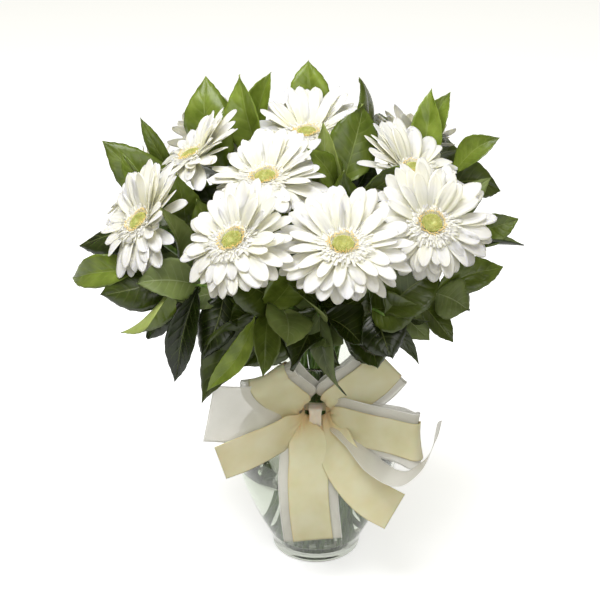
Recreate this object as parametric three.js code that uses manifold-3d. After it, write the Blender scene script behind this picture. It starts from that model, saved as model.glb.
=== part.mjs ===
// A vase of white gerberas and broad green leaves, tied at the neck with a two-layer ribbon bow.
// Millimetres, +Z up, +X to the viewer's right, -Y towards the viewer.
// The origin is the centre of the vase's flat underside.
import * as THREE from 'three';
import { mergeVertices } from 'three/addons/utils/BufferGeometryUtils.js';
import Module from 'manifold-3d';

const wasm = await Module();
wasm.setup();

// Sizes shared by several pieces
const GAP = 0.3;
const FLOOR_Z = 14;
const NECK_Z = 172;
const FREE_Z = 205;
const WATER_Z = 100;
const WALL = 3;
const SLIVER = 0.12;
const V = (x, y, z) => new THREE.Vector3(x, y, z);
const rad = THREE.MathUtils.degToRad;

// Glass outline from the underside to the lip, radius and height
const VASE_OUTER = [
  [0, 0], [42, 0], [44.5, 3], [45, 10], [49, 20], [57, 36], [66, 56], [75, 80], [79.5, 98], [80.5, 110],
  [77.5, 124], [69, 138], [56, 149], [43, 157], [36, 164], [33.5, 171], [33.5, 178], [35.5, 187], [40, 196.5],
  [46, 206], [51, 214], [53, 219], [52, 221],
];
const VASE_SIDES = 20;

// The stems lie as straight lines that turn round each other like a screw, narrowest at the neck.
// TWIST is the sideways lean for each millimetre of radius and of height.
const TWIST = 0.0118;
const FLOWER_STEM_R = 2.7;
const SPRAY_STEM_R = 1.6;
const RING_RADIUS = { inner: 4.6, middle: 11.6, outer: 17.8 };

// Gerbera head: a white plug carries the petals and a crown of short florets, a green centre sits on it.
// The petals rise by cup degrees all round, and by lean degrees more uphill and less downhill.
const PETAL = {
  root: 9, rootZ: -2.2, length: 43, width: 20, tipWidth: 9, thick: 0.8, widest: 0.74, cup: 5, lean: 19,
};
const PETAL_LAYERS = [
  { count: 9, rise: 0, bend: 12, drop: 0, scale: 1 },
  { count: 6, rise: 14, bend: 10, drop: 1.2, scale: 0.92 },
];
// Turned shapes of a head, radius and height in its own frame; every second point of tipRing is drawn in
const PLUG = {
  sides: 10, tipRing: 3, outline: [[0, -5], [10.5, -4.6], [11, 0.6], [22, 5.4], [12.6, 2.2], [0, 2.2]],
};
const CENTRE = {
  sides: 10, tipRing: 2, outline: [[0, 2.5], [12, 2.5], [12.8, 5.6], [9, 4.2], [4, 4.6], [0, 3.9]],
};
const CALYX = { sides: 6, outline: [[0, -17], [2.6, -17], [9, -9], [10, -5.3], [0, -5.3]] };
const STEM_END = -14;
const PETAL_TURNS = [0, 9, -9, 18, -18, 27, -27, 36];
const PETAL_SHRINKS = [1, 0.85, 0.7];

// Heads: middle of the face, the way it faces, and its place in the bundle at the neck
const HEADS = [
  { at: [-160, -35, 360], facing: [-0.59, -0.3, 0.75], ring: 'middle', turn: 191 },
  { at: [-117, 30, 401], facing: [-0.39, -0.03, 0.92], ring: 'inner', turn: 180 },
  { at: [-47, -40, 403], facing: [-0.12, -0.22, 0.97], ring: 'inner', turn: 270 },
  { at: [-10, 60, 413], facing: [-0.03, -0.12, 0.99], ring: 'inner', turn: 90 },
  { at: [-72, -125, 377], facing: [-0.4, -0.4, 0.82], ring: 'middle', turn: 249 },
  { at: [19, -140, 379], facing: [0, -0.38, 0.92], ring: 'middle', turn: 278 },
  { at: [97, -80, 375], facing: [0.13, -0.58, 0.8], ring: 'middle', turn: 332 },
  { at: [88, 3, 396], facing: [0.22, -0.15, 0.96], ring: 'middle', turn: 0 },
  { at: [98, 108, 386], facing: [0.34, 0.4, 0.85], ring: 'middle', turn: 58 },
  { at: [-172, 72, 350], facing: [-0.64, 0.26, 0.72], ring: 'middle', turn: 161 },
  { at: [-95, 120, 380], facing: [-0.4, 0.66, 0.64], ring: 'middle', turn: 122 },
  { at: [4, 147, 378], facing: [0.08, 0.75, 0.66], ring: 'middle', turn: 89 },
];
// The heads that show come first, then the leaves, then the heads at the back, whose petals give way
const FRONT_HEADS = [5, 4, 6, 0, 2, 7, 3, 1];
const REAR_HEADS = [8, 9, 10, 11];

// Sprays: end of the leafy stem, pitch of its last stretch, place in the bundle, and its leaves.
// A leaf is the stem joint it grows from, the place of its tip, its width and the way its face looks.
const FACES = {
  up: V(0, 0, 1), front: V(0, -1, 0.35), left: V(-0.8, -0.2, 0.7), right: V(0.8, -0.2, 0.7),
  back: V(0, 0.8, 0.6), under: V(0, -0.5, -0.8),
};
const SPRAYS = [
  { end: [135, -8, 338], pitch: 15, ring: 'outer', turn: 0, leaves: [
    [7, [181, -22, 357], 30, 'front'], [5, [190, -15, 330], 30, 'up'], [6, [160, 12, 388], 26, 'front'],
    [5, [150, 25, 295], 44, 'right'], [4, [120, -5, 265], 42, 'right']] },
  { end: [128, 45, 378], pitch: 35, ring: 'outer', turn: 24, leaves: [
    [7, [166, 35, 420], 28, 'front'], [6, [178, 62, 360], 44, 'right'], [5, [160, 70, 315], 44, 'right'],
    [4, [120, 60, 270], 42, 'right']] },
  { end: [100, 68, 385], pitch: 50, ring: 'outer', turn: 43, leaves: [
    [7, [126, 76, 450], 26, 'front'], [6, [106, 70, 455], 32, 'front'], [6, [140, 120, 372], 44, 'back'],
    [5, [115, 120, 318], 44, 'back']] },
  { end: [48, 92, 400], pitch: 60, ring: 'outer', turn: 72, leaves: [
    [7, [42, 72, 466], 42, 'front'], [6, [70, 155, 405], 44, 'back'], [5, [60, 145, 335], 46, 'back'],
    [4, [45, 125, 280], 44, 'back']] },
  { end: [-12, 120, 402], pitch: 65, ring: 'outer', turn: 97, leaves: [
    [7, [-10, 120, 468], 44, 'front'], [6, [-15, 180, 345], 46, 'back'], [5, [5, 140, 290], 44, 'back']] },
  { end: [-62, 108, 398], pitch: 60, ring: 'outer', turn: 115, leaves: [
    [7, [-45, 108, 461], 26, 'front'], [6, [-76, 92, 460], 40, 'front'], [6, [-50, 165, 340], 46, 'back'],
    [5, [-50, 140, 285], 44, 'back']] },
  { end: [-102, 94, 387], pitch: 50, ring: 'outer', turn: 131, leaves: [
    [6, [-123, 102, 454], 46, 'front'], [7, [-98, 108, 444], 30, 'front'], [6, [-150, 140, 330], 46, 'back'],
    [5, [-110, 130, 290], 44, 'back']] },
  { end: [-140, 80, 363], pitch: 40, ring: 'outer', turn: 146, leaves: [
    [6, [-200, 50, 408], 42, 'front'], [7, [-169, 76, 423], 16, 'front'], [5, [-205, 95, 330], 46, 'left'],
    [4, [-150, 80, 285], 44, 'left']] },
  { end: [-150, 10, 340], pitch: 25, ring: 'outer', turn: 176, leaves: [
    [7, [-182, 18, 408], 24, 'front'], [6, [-228, 20, 318], 46, 'left'], [5, [-190, 30, 280], 46, 'left'],
    [6, [-128, -28, 404], 34, 'front'], [4, [-140, 10, 250], 42, 'left']] },
  { end: [-150, -50, 322], pitch: 15, ring: 'outer', turn: 203, leaves: [
    [7, [-240, -26, 302], 32, 'front'], [6, [-197, -55, 297], 42, 'front'], [6, [-136, -72, 386], 24, 'front'],
    [5, [-160, -60, 262], 44, 'left'], [4, [-112, -22, 378], 44, 'front']] },
  { end: [-128, -80, 318], pitch: 5, ring: 'outer', turn: 219, leaves: [
    [7, [-174, -84, 270], 34, 'under'], [6, [-128, -88, 226], 30, 'front'], [5, [-105, -90, 252], 34, 'front'],
    [6, [-158, -92, 326], 40, 'front'], [4, [-92, -82, 262], 38, 'front']] },
  { end: [-56, -96, 296], pitch: -5, ring: 'outer', turn: 231, leaves: [
    [7, [-102, -108, 228], 20, 'front'], [5, [-106, -92, 208], 46, 'front'], [6, [-48, -114, 246], 26, 'front'],
    [5, [-8, -124, 306], 44, 'up'], [4, [-70, -80, 240], 44, 'front'], [5, [-85, -102, 342], 46, 'front'],
    [6, [-14, -96, 356], 44, 'front']] },
  { end: [0, -104, 300], pitch: -5, ring: 'outer', turn: 264, leaves: [
    [7, [36, -132, 284], 40, 'up'], [6, [20, -112, 224], 44, 'under'], [5, [-25, -100, 245], 44, 'front'],
    [5, [-34, -112, 340], 46, 'front'], [4, [15, -80, 238], 40, 'front'], [6, [42, -112, 338], 46, 'front'],
    [4, [-16, -66, 352], 44, 'up']] },
  { end: [58, -92, 295], pitch: 0, ring: 'outer', turn: 296, leaves: [
    [7, [106, -82, 332], 44, 'front'], [6, [88, -100, 306], 44, 'front'], [5, [92, -84, 244], 16, 'front'],
    [6, [62, -112, 264], 44, 'front'], [4, [52, -88, 240], 42, 'front'], [4, [74, -92, 338], 46, 'front']] },
  { end: [105, -55, 300], pitch: 5, ring: 'outer', turn: 322, leaves: [
    [6, [122, -64, 254], 28, 'up'], [7, [168, -46, 320], 36, 'front'], [5, [100, -70, 262], 34, 'front'],
    [4, [98, -30, 250], 40, 'right'], [7, [135, -72, 290], 40, 'front']] },
  { end: [22, -8, 385], pitch: 80, ring: 'inner', turn: 0, leaves: [
    [7, [42, 18, 455], 44, 'front'], [6, [6, -12, 446], 28, 'front'], [6, [-12, -42, 426], 40, 'front'],
    [5, [20, -48, 410], 34, 'front'], [6, [78, -28, 412], 40, 'front'], [5, [-42, -94, 390], 30, 'front'],
    [4, [-40, 20, 380], 44, 'up'], [3, [-50, -40, 335], 44, 'up'], [4, [72, -30, 372], 44, 'front'],
    [3, [-20, -62, 330], 44, 'front']] },
];
const LEAF = { thick: 0.7, fold: 22, arch: 0.12, wave: 1.2 };
// Share of the length and of the width at each cross row, for the leaves that show and for the rest
const LEAF_ROWS = {
  full: [[0, 0], [0.26, 0.9], [0.56, 0.94], [0.84, 0.4], [1, 0]],
  plain: [[0, 0], [0.34, 0.96], [0.72, 0.72], [1, 0]],
};
const LEAF_TURNS = [0, 8, 16, 24, 34, 46];
const LEAF_WAYS = [[1, 0], [-1, 0], [0, 1], [0, -1], [0.7, 0.7], [-0.7, 0.7], [0.7, -0.7], [-0.7, -0.7]];
const LEAF_ROLLS = [0, 25, -25, 55];
const LEAF_SHRINKS = [1, 0.86, 0.72, 0.6];

// Ribbon bow: the middle line of each band and the direction across its width away from the knot.
// Loops leave the knot's front layer and come back to its rear layer; the sheer ribbon lies inside them.
const RIBBON = { cream: 38, sheer: 56, thick: 0.8, gather: 11, lead: 5, opening: 42, step: 16, clear: 0.5 };
const KNOT = {
  x: -2, half: 12, low: 165, middle: 171, high: 178.5, sheerHigh: 176, frontY: -45.5, plate: 2, pitch: 2.6,
};
const TIE = { half: 5.5, thick: 1 };
const NECK_BAND = { inner: 34.8, outer: 36.6, low: 168.5, high: 177 };
const LOOPS = [
  { from: -12, across: [0.77, 0, 0.63], line: [[-17, -54, 178], [-32, -68, 199], [-44, -75, 216],
    [-46, -71, 226], [-42, -62, 221], [-31, -57, 205], [-18, -46, 184]] },
  { from: 8, across: [0.7, 0, -0.72], line: [[13, -54, 179], [30, -64, 199], [52, -68, 220],
    [64, -64, 234], [62, -56, 231], [44, -54, 212], [20, -47, 188]] },
  { from: 8, across: [0.15, 0, -1], line: [[15, -58, 171], [38, -74, 170], [66, -84, 168],
    [90, -86, 163], [96, -78, 161], [84, -68, 162], [50, -62, 166], [22, -53, 169]] },
];
const TAILS = [
  { layer: 'cream', from: [-12, 171.5], gather: 11, start: [0, 0, 1], across: [0.1, 0, 1],
    line: [[-20, -60, 166], [-40, -78, 161], [-64, -90, 155], [-90, -97, 147]] },
  { layer: 'sheer', from: [-12, 171], gather: 10, start: [0, 0, 1], across: [-0.2, 0, 1],
    line: [[-20, -50, 174], [-42, -66, 181], [-70, -80, 188], [-100, -90, 195]] },
  { layer: 'cream', from: [-12.4, 169], gather: 4, start: [1, 0, 0], across: [1, 0, 0],
    line: [[-12.5, -53, 164], [-9.5, -62, 156], [-8, -77, 141], [-9, -88, 121], [-8, -92, 98], [-6, -92, 76],
      [-4, -90, 58]] },
  { layer: 'sheer', from: [-12.4, 167], gather: 4, start: [1, 0, 0], across: [1, 0, 0],
    line: [[-15, -47, 160], [-10, -60, 151], [-8, -73, 140], [-9, -85.5, 121], [-8, -89.5, 98], [-6, -89.5, 76],
      [-4, -87.5, 57]] },
  { layer: 'cream', from: [8, 170], gather: 8, start: [0.6, 0, 0.8], across: [0.62, 0, 0.78],
    line: [[12, -60, 161], [21, -81, 147], [38, -92, 128], [57, -97, 110], [76, -99, 98]] },
  { layer: 'sheer', from: [8, 167], gather: 6, start: [0.9, 0, 0.4], across: [0.1, 0.8, 0.6], width: 34,
    line: [[16, -50, 166], [34, -65, 157], [54, -84, 143], [76, -100, 138], [95, -104, 150], [106, -98, 168],
      [111, -90, 187]] },
];

// Finishes
const finish = (color, roughness, extra = {}) =>
  new THREE.MeshStandardMaterial({ color, roughness, metalness: 0, ...extra });
const FINISHES = {
  petals: finish('#f7f6ee', 0.6),
  centre: finish('#b9c463', 0.7),
  stem: finish('#6f8f3f', 0.55),
  leaves: finish('#3f6b22', 0.4),
  glass: finish('#dfeae6', 0.05, { transparent: true, opacity: 0.35 }),
  water: finish('#eef4f2', 0.05, { transparent: true, opacity: 0.4 }),
  cream: finish('#d8cd9f', 0.55),
  sheer: finish('#e4e2df', 0.6),
};

const group = new THREE.Group();

// Solids and meshes
function solidOf(geometry) {
  const bare = geometry.index ? geometry.clone() : geometry;
  bare.deleteAttribute('normal');
  bare.deleteAttribute('uv');
  const merged = mergeVertices(bare, 1e-4);
  const triVerts = new Uint32Array(merged.index.array);
  const vertProperties = new Float32Array(merged.attributes.position.array);
  if (signedVolume(vertProperties, triVerts) < 0) {
    for (let i = 0; i < triVerts.length; i += 3) {
      [triVerts[i], triVerts[i + 1]] = [triVerts[i + 1], triVerts[i]];
    }
  }
  return new wasm.Manifold(new wasm.Mesh({ numProp: 3, vertProperties, triVerts }));
}

function signedVolume(position, index) {
  const corner = [V(), V(), V()];
  let sum = 0;
  for (let i = 0; i < index.length; i += 3) {
    corner.forEach((point, k) => point.fromArray(position, 3 * index[i + k]));
    sum += corner[0].dot(corner[1].clone().cross(corner[2])) / 6;
  }
  return sum;
}

function union(list) {
  return list.reduce((sum, next) => sum.add(next));
}

// The outer skin of the main body: hollows that fusing sealed are filled, loose scraps are dropped
// and the slivers along the seams are merged
function largest(solid) {
  const main = (body) => body.decompose().sort((a, b) => b.volume() - a.volume())[0];
  return main(main(solid).asOriginal().simplify(SLIVER));
}

function addPiece(name, solid, material) {
  const { vertProperties, triVerts } = solid.getMesh();
  const geometry = new THREE.BufferGeometry();
  geometry.setAttribute('position', new THREE.BufferAttribute(new Float32Array(vertProperties), 3));
  geometry.setIndex(new THREE.BufferAttribute(new Uint32Array(triVerts), 1));
  geometry.computeVertexNormals();
  const mesh = new THREE.Mesh(geometry, material);
  mesh.name = name;
  group.add(mesh);
}

// Everything placed so far, which later leaves and petals bend clear of
const placed = [];
function place(owner, solid) {
  placed.push({ owner, solid, box: solid.boundingBox() });
}

function isClear(owner, solid) {
  const box = solid.boundingBox();
  const near = placed.filter((other) => other.owner !== owner && boxesMeet(box, other.box));
  return near.every((other) => solid.intersect(other.solid).isEmpty());
}

function boxesMeet(a, b) {
  return [0, 1, 2].every((k) => a.min[k] < b.max[k] && b.min[k] < a.max[k]);
}

// A thin closed blade. Each row runs from edge to edge and holds one to three points,
// each with its own normal; both faces are split into triangles alike.
function blade(rows, thick) {
  const position = [];
  const index = [];
  const first = [];
  for (const row of rows) {
    first.push(position.length / 3);
    for (const side of [0.5, -0.5]) {
      for (const { at, normal } of row) {
        position.push(...at.clone().addScaledVector(normal, side * thick));
      }
    }
  }
  const top = (r, i) => first[r] + i;
  const low = (r, i) => first[r] + rows[r].length + i;
  const quad = (a, b, c, d) => index.push(a, b, c, a, c, d);
  for (let r = 0; r + 1 < rows.length; r++) {
    const lastA = rows[r].length - 1;
    const lastB = rows[r + 1].length - 1;
    for (let i = 0, j = 0; i < lastA || j < lastB;) {
      if (i === lastA || (j < lastB && j / lastB <= i / lastA)) {
        index.push(top(r, i), top(r + 1, j), top(r + 1, j + 1));
        index.push(low(r, i), low(r + 1, j + 1), low(r + 1, j));
        j++;
      } else {
        index.push(top(r, i), top(r + 1, j), top(r, i + 1));
        index.push(low(r, i), low(r, i + 1), low(r + 1, j));
        i++;
      }
    }
    quad(low(r, 0), low(r + 1, 0), top(r + 1, 0), top(r, 0));
    quad(low(r + 1, lastB), low(r, lastA), top(r, lastA), top(r + 1, lastB));
  }
  const end = rows.length - 1;
  for (let i = 0; i + 1 < rows[0].length; i++) {
    quad(low(0, i + 1), low(0, i), top(0, i), top(0, i + 1));
  }
  for (let i = 0; i + 1 < rows[end].length; i++) {
    quad(low(end, i), low(end, i + 1), top(end, i + 1), top(end, i));
  }
  const geometry = new THREE.BufferGeometry();
  geometry.setAttribute('position', new THREE.Float32BufferAttribute(position, 3));
  geometry.setIndex(index);
  return solidOf(geometry);
}

// A round rod through the given points, straight from each to the next
class RodPath extends THREE.Curve {
  constructor(points) {
    super();
    this.points = points;
  }

  getPoint(t) {
    const place = Math.min(Math.max(t, 0), 1) * (this.points.length - 1);
    const i = Math.min(Math.floor(place), this.points.length - 2);
    return this.points[i].clone().lerp(this.points[i + 1], place - i);
  }

  getUtoTmapping(u) {
    return u;
  }
}

function rod(points, radius, sides) {
  const outline = new THREE.Shape();
  for (let i = 0; i < sides; i++) {
    const turn = (2 * Math.PI * i) / sides;
    outline[i ? 'lineTo' : 'moveTo'](radius * Math.cos(turn), radius * Math.sin(turn));
  }
  const options = { steps: points.length - 1, extrudePath: new RodPath(points) };
  return solidOf(new THREE.ExtrudeGeometry(outline, options));
}

// A turned shape about +Z from radius and height pairs
function turned(outline, sides) {
  const points = outline.map(([r, z]) => new THREE.Vector2(r, z));
  const geometry = new THREE.LatheGeometry(points, sides);
  geometry.rotateX(Math.PI / 2);
  return geometry;
}

// Steady pseudo-random number between -1 and 1
function draw(seed, k) {
  const wide = Math.sin(seed * 78.233 + k * 12.9898) * 43758.5453;
  return 2 * (wide - Math.floor(wide)) - 1;
}

// Vase and water. The inside of the glass follows every second point of the outside.
const INNER_WALL = VASE_OUTER.slice(4, -2).filter((_, i) => i % 2 === 0).map(([r, z]) => [r - WALL, z]);

function insideRadius(z) {
  const above = INNER_WALL.findIndex(([, height]) => height > z);
  const [r1, z1] = INNER_WALL[above];
  const [r0, z0] = INNER_WALL[above - 1];
  return r0 + ((r1 - r0) * (z - z0)) / (z1 - z0);
}

function vaseSolid() {
  const lip = [[50.5, 219.5]];
  const floor = [[40, FLOOR_Z], [0, FLOOR_Z]];
  return solidOf(turned([...VASE_OUTER, ...lip, ...INNER_WALL.slice().reverse(), ...floor], VASE_SIDES));
}

function waterSolid(stems) {
  const shrink = GAP + 0.1;
  const wall = [...INNER_WALL.filter(([, z]) => z < WATER_Z), [insideRadius(WATER_Z), WATER_Z]];
  const low = FLOOR_Z + GAP;
  const outline = [[0, low], [40 - shrink, low], ...wall.map(([r, z]) => [r - shrink, z]), [0, WATER_Z]];
  return stems.reduce((body, hole) => body.subtract(hole), solidOf(turned(outline, VASE_SIDES)));
}

// Stems: straight through vase and neck, then one free curve to the end
function bundlePoint(ring, turn, z) {
  const radius = RING_RADIUS[ring];
  const lean = TWIST * (z - NECK_Z);
  const angle = rad(turn) - Math.atan(TWIST * (FREE_Z - NECK_Z));
  return V(
    radius * (Math.cos(angle) - lean * Math.sin(angle)),
    radius * (Math.sin(angle) + lean * Math.cos(angle)),
    z,
  );
}

function stemPoints(ring, turn, end, heading, steps, reach) {
  const foot = bundlePoint(ring, turn, FLOOR_Z + GAP);
  const start = bundlePoint(ring, turn, FREE_Z);
  const along = start.clone().sub(foot).normalize();
  const curve = new THREE.CubicBezierCurve3(
    start, start.clone().addScaledVector(along, 55), end.clone().addScaledVector(heading, -reach), end);
  return [foot, ...curve.getPoints(steps)];
}

function holeFor(points, radius) {
  const [foot, start] = points;
  const below = foot.clone().lerp(start, -0.02);
  return rod([below, start], radius + GAP + 0.3, 5);
}

// Gerberas
function headFrame(head) {
  const out = V(...head.facing).normalize();
  const side = V(0, 0, 1).cross(out).normalize();
  const over = out.clone().cross(side);
  return new THREE.Matrix4().makeBasis(side, over, out).setPosition(V(...head.at));
}

function plugSolid(frame) {
  const { sides, tipRing, outline } = PLUG;
  const geometry = turned(outline, sides);
  pinchEverySecond(geometry, sides, tipRing, 0.74, 0.62);
  return solidOf(geometry.applyMatrix4(frame));
}

function centreSolid(frame) {
  const { sides, tipRing, outline } = CENTRE;
  const geometry = turned(outline, sides);
  pinchEverySecond(geometry, sides, tipRing, 0.88, 0.82);
  return solidOf(geometry.applyMatrix4(frame));
}

// Draws every second point of one turned ring inwards and down, which leaves a toothed edge
function pinchEverySecond(geometry, sides, ring, radial, height) {
  const position = geometry.attributes.position;
  const rings = position.count / (sides + 1);
  for (let turn = 1; turn < sides; turn += 2) {
    const i = turn * rings + ring;
    position.setXYZ(i, position.getX(i) * radial, position.getY(i) * radial, position.getZ(i) * height);
  }
}

function calyxSolid(frame) {
  const geometry = turned(CALYX.outline, CALYX.sides);
  return solidOf(geometry.applyMatrix4(frame));
}

// One petal in the head's own frame: a bent wedge from the plug to a blunt tip
function petalSolid(frame, layer, seed, k, turn, shrink, grow) {
  const around = ((k + draw(seed, k) * 0.12 + layer.drop * 0.4) / layer.count) * 2 * Math.PI;
  const rise = rad(layer.rise + PETAL.cup + PETAL.lean * Math.sin(around) + 3 * draw(seed, k + 40) + turn);
  const bend = rad(layer.bend);
  const length = PETAL.length * layer.scale * shrink * (1 + 0.07 * draw(seed, k + 80));
  const roll = rad(9 * draw(seed, k + 120));
  const outwards = V(Math.cos(around), Math.sin(around), 0);
  const row = (share, width) => {
    const slope = rise - bend * share;
    const reach = (length * (Math.sin(rise) - Math.sin(slope))) / bend;
    const lift = (length * (Math.cos(slope) - Math.cos(rise))) / bend;
    const at = outwards.clone().multiplyScalar(PETAL.root + reach);
    at.z = PETAL.rootZ + layer.drop + lift;
    const normal = outwards.clone().multiplyScalar(-Math.sin(slope)).add(V(0, 0, Math.cos(slope)));
    const along = outwards.clone().multiplyScalar(Math.cos(slope)).add(V(0, 0, Math.sin(slope)));
    const across = normal.clone().cross(along).applyAxisAngle(along, roll * share);
    const facing = along.clone().cross(across);
    const sides = width ? [-0.5, 0.5] : [0];
    return sides.map((side) => ({
      at: at.clone().addScaledVector(across, side * (width + 2 * grow)).applyMatrix4(frame),
      normal: facing.clone().transformDirection(frame),
    }));
  };
  return blade([row(0, 0), row(PETAL.widest, PETAL.width), row(1, PETAL.tipWidth)], PETAL.thick + 2 * grow);
}

function growPetals(head, seed, owner) {
  const frame = headFrame(head);
  const list = [];
  for (const layer of PETAL_LAYERS) {
    for (let k = 0; k < layer.count; k++) {
      const tries = PETAL_SHRINKS.flatMap((shrink) => PETAL_TURNS.map((turn) => [turn, shrink]));
      const fit = tries.find(([turn, shrink]) =>
        isClear(owner, petalSolid(frame, layer, seed, k, turn, shrink, GAP)));
      if (fit) {
        list.push(petalSolid(frame, layer, seed, k, ...fit, 0));
      }
      seed += 0.37;
    }
  }
  list.forEach((petal) => place(owner, petal));
  return list;
}

// Leaves
function leafSolid(root, tip, width, face, seed, [swing, lift, roll, shrink], grow) {
  const spine = tip.clone().sub(root);
  const normal = face.clone().addScaledVector(spine, -face.dot(spine) / spine.lengthSq()).normalize();
  const across = normal.clone().cross(spine).normalize();
  spine.applyAxisAngle(normal, rad(swing)).applyAxisAngle(across, rad(lift)).multiplyScalar(shrink);
  const along = spine.clone().normalize();
  normal.addScaledVector(along, -normal.dot(along)).normalize().applyAxisAngle(along, rad(roll));
  const side = normal.clone().cross(along);
  const middle = root.clone().addScaledVector(spine, 0.5);
  middle.addScaledVector(normal, spine.length() * (LEAF.arch + 0.05 * draw(seed, 1)));
  const line = new THREE.QuadraticBezierCurve3(root, middle, root.clone().add(spine));
  const fold = rad(LEAF.fold);
  const shows = face === FACES.front && width >= 34;
  const rows = LEAF_ROWS[shows ? 'full' : 'plain'].map(([share, wide], r) => {
    const at = line.getPoint(share);
    const half = (width * shrink * wide) / 2 + grow;
    if (!wide) {
      return [{ at, normal }];
    }
    return [-1, 0, 1].map((edge) => ({
      at: at.clone().addScaledVector(side, edge * half * Math.cos(fold))
        .addScaledVector(normal, Math.abs(edge) * half * Math.sin(fold) + edge * LEAF.wave * draw(seed, r + 3)),
      normal,
    }));
  });
  return blade(rows, LEAF.thick + 2 * grow);
}

// Every way a leaf may swing, lift, roll and shrink to stay clear, the smallest change first
const LEAF_TRIES = LEAF_SHRINKS.flatMap((shrink) => LEAF_TURNS.flatMap((turn) =>
  (turn ? LEAF_WAYS : [[0, 0]]).flatMap(([swing, lift]) =>
    LEAF_ROLLS.map((roll) => [swing * turn, lift * turn, roll, shrink]))));

function growLeaves(spray, points, owner, seed) {
  const list = [];
  spray.leaves.forEach(([joint, tip, width, face], k) => {
    const root = points[joint + 1];
    const build = (fit, grow) => leafSolid(root, V(...tip), width, FACES[face], seed + k, fit, grow);
    const fit = LEAF_TRIES.find((tried) => isClear(owner, build(tried, GAP)));
    if (fit) {
      list.push(build(fit, 0));
      place(owner, list[list.length - 1]);
    }
  });
  return list;
}

// Ribbon: a flat band along its middle line, gathered to a narrow strip where it enters the knot
function band(line, { across, start, width, gather, loop, inset = 0, grow = 0 }) {
  const curve = new THREE.CatmullRomCurve3(line, false, 'centripetal');
  const length = curve.getLength();
  const steps = Math.round(length / RIBBON.step);
  const rows = [];
  for (let i = 0; i <= steps; i++) {
    const share = i / steps;
    const fromKnot = length * (loop ? Math.min(share, 1 - share) : share);
    const open = THREE.MathUtils.smoothstep(fromKnot, 0, RIBBON.opening);
    const along = curve.getTangentAt(share);
    const cross = start.clone().lerp(across, open);
    cross.addScaledVector(along, -cross.dot(along)).normalize();
    const half = (gather + (width - gather) * open) / 2 + grow;
    const normal = along.clone().cross(cross).normalize();
    const at = curve.getPointAt(share).addScaledVector(normal, inset);
    rows.push([-half, half].map((side) => ({ at: at.clone().addScaledVector(cross, side), normal })));
  }
  return blade(rows, RIBBON.thick + 2 * grow);
}

function block(low, high) {
  const size = high.clone().sub(low);
  const geometry = new THREE.BoxGeometry(size.x, size.y, size.z);
  const middle = low.clone().add(high).multiplyScalar(0.5);
  return solidOf(geometry.translate(middle.x, middle.y, middle.z));
}

// Layer 0 is the front of the knot, 1 the sheer ribbon, 2 the rear
const layerY = (layer) => KNOT.frontY + layer * KNOT.pitch;

function knotPlate(layer, low, high, grow, depth = KNOT.plate) {
  const y = layerY(layer);
  const near = V(KNOT.x - KNOT.half, y, low).subScalar(grow);
  return block(near, V(KNOT.x + KNOT.half, y + depth, high).addScalar(grow));
}

function bowSolid(colour, grow) {
  const sheer = colour === 'sheer';
  const parts = sheer
    ? [knotPlate(1, KNOT.low, KNOT.sheerHigh, grow)]
    : [knotPlate(0, KNOT.low, KNOT.high, grow), knotPlate(2, KNOT.low, KNOT.high, grow),
      knotPlate(0, KNOT.sheerHigh + GAP, KNOT.high, grow, 2 * KNOT.pitch + KNOT.plate)];
  const width = RIBBON[colour];
  for (const { from, across, line } of LOOPS) {
    const direction = V(...across).normalize();
    const [front, rear] = [0, 2].map((layer) => V(from, layerY(layer) + KNOT.plate / 2, KNOT.middle));
    const lead = V(Math.sign(from - KNOT.x) * RIBBON.lead, 0, 0);
    const points = [front, front.clone().add(lead), ...line.map((point) => V(...point)),
      rear.clone().add(lead), rear];
    parts.push(band(points, { across: direction, start: V(0, 0, Math.sign(direction.z)), width,
      gather: RIBBON.gather, loop: true, inset: sheer ? KNOT.pitch : 0, grow }));
  }
  for (const tail of TAILS.filter(({ layer }) => layer === colour)) {
    const [x, z] = tail.from;
    const y = layerY(sheer ? 1 : 0) + KNOT.plate / 2;
    const points = [V(x, y, z), ...tail.line.map((point) => V(...point))];
    parts.push(band(points, { across: V(...tail.across).normalize(), start: V(...tail.start).normalize(),
      width: tail.width ?? width, gather: tail.gather, grow }));
  }
  return union(parts);
}

function tieSolid() {
  const low = V(KNOT.x - TIE.half, layerY(0) - GAP, KNOT.low - 2 * GAP);
  const high = V(KNOT.x + TIE.half, layerY(2) + KNOT.plate + GAP, KNOT.high + GAP);
  const wall = V(0, TIE.thick, TIE.thick);
  const past = V(1, 0, 0);
  return block(low.clone().sub(wall), high.clone().add(wall)).subtract(block(low.sub(past), high.add(past)));
}

function neckBandSolid() {
  const { inner, outer, low, high } = NECK_BAND;
  return solidOf(turned([[inner, low], [outer, low], [outer, high], [inner, high], [inner, low]], VASE_SIDES));
}

// Put together
const vase = vaseSolid();
addPiece('vase', vase, FINISHES.glass);
place('vase', vase);

// The sheer ribbon is cut back to a small gap wherever the cream one passes through its place
const cream = largest(bowSolid('cream', 0));
const room = bowSolid('cream', RIBBON.clear).add(cream);
const sheer = largest(bowSolid('sheer', 0).subtract(room));
const pieces = [
  ['ribbon_cream', cream, FINISHES.cream],
  ['ribbon_sheer', sheer, FINISHES.sheer],
  ['bow_tie', tieSolid(), FINISHES.sheer],
  ['neck_band', neckBandSolid(), FINISHES.cream],
];
for (const [name, solid, material] of pieces) {
  addPiece(name, solid, material);
  place(name, solid);
}

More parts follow.
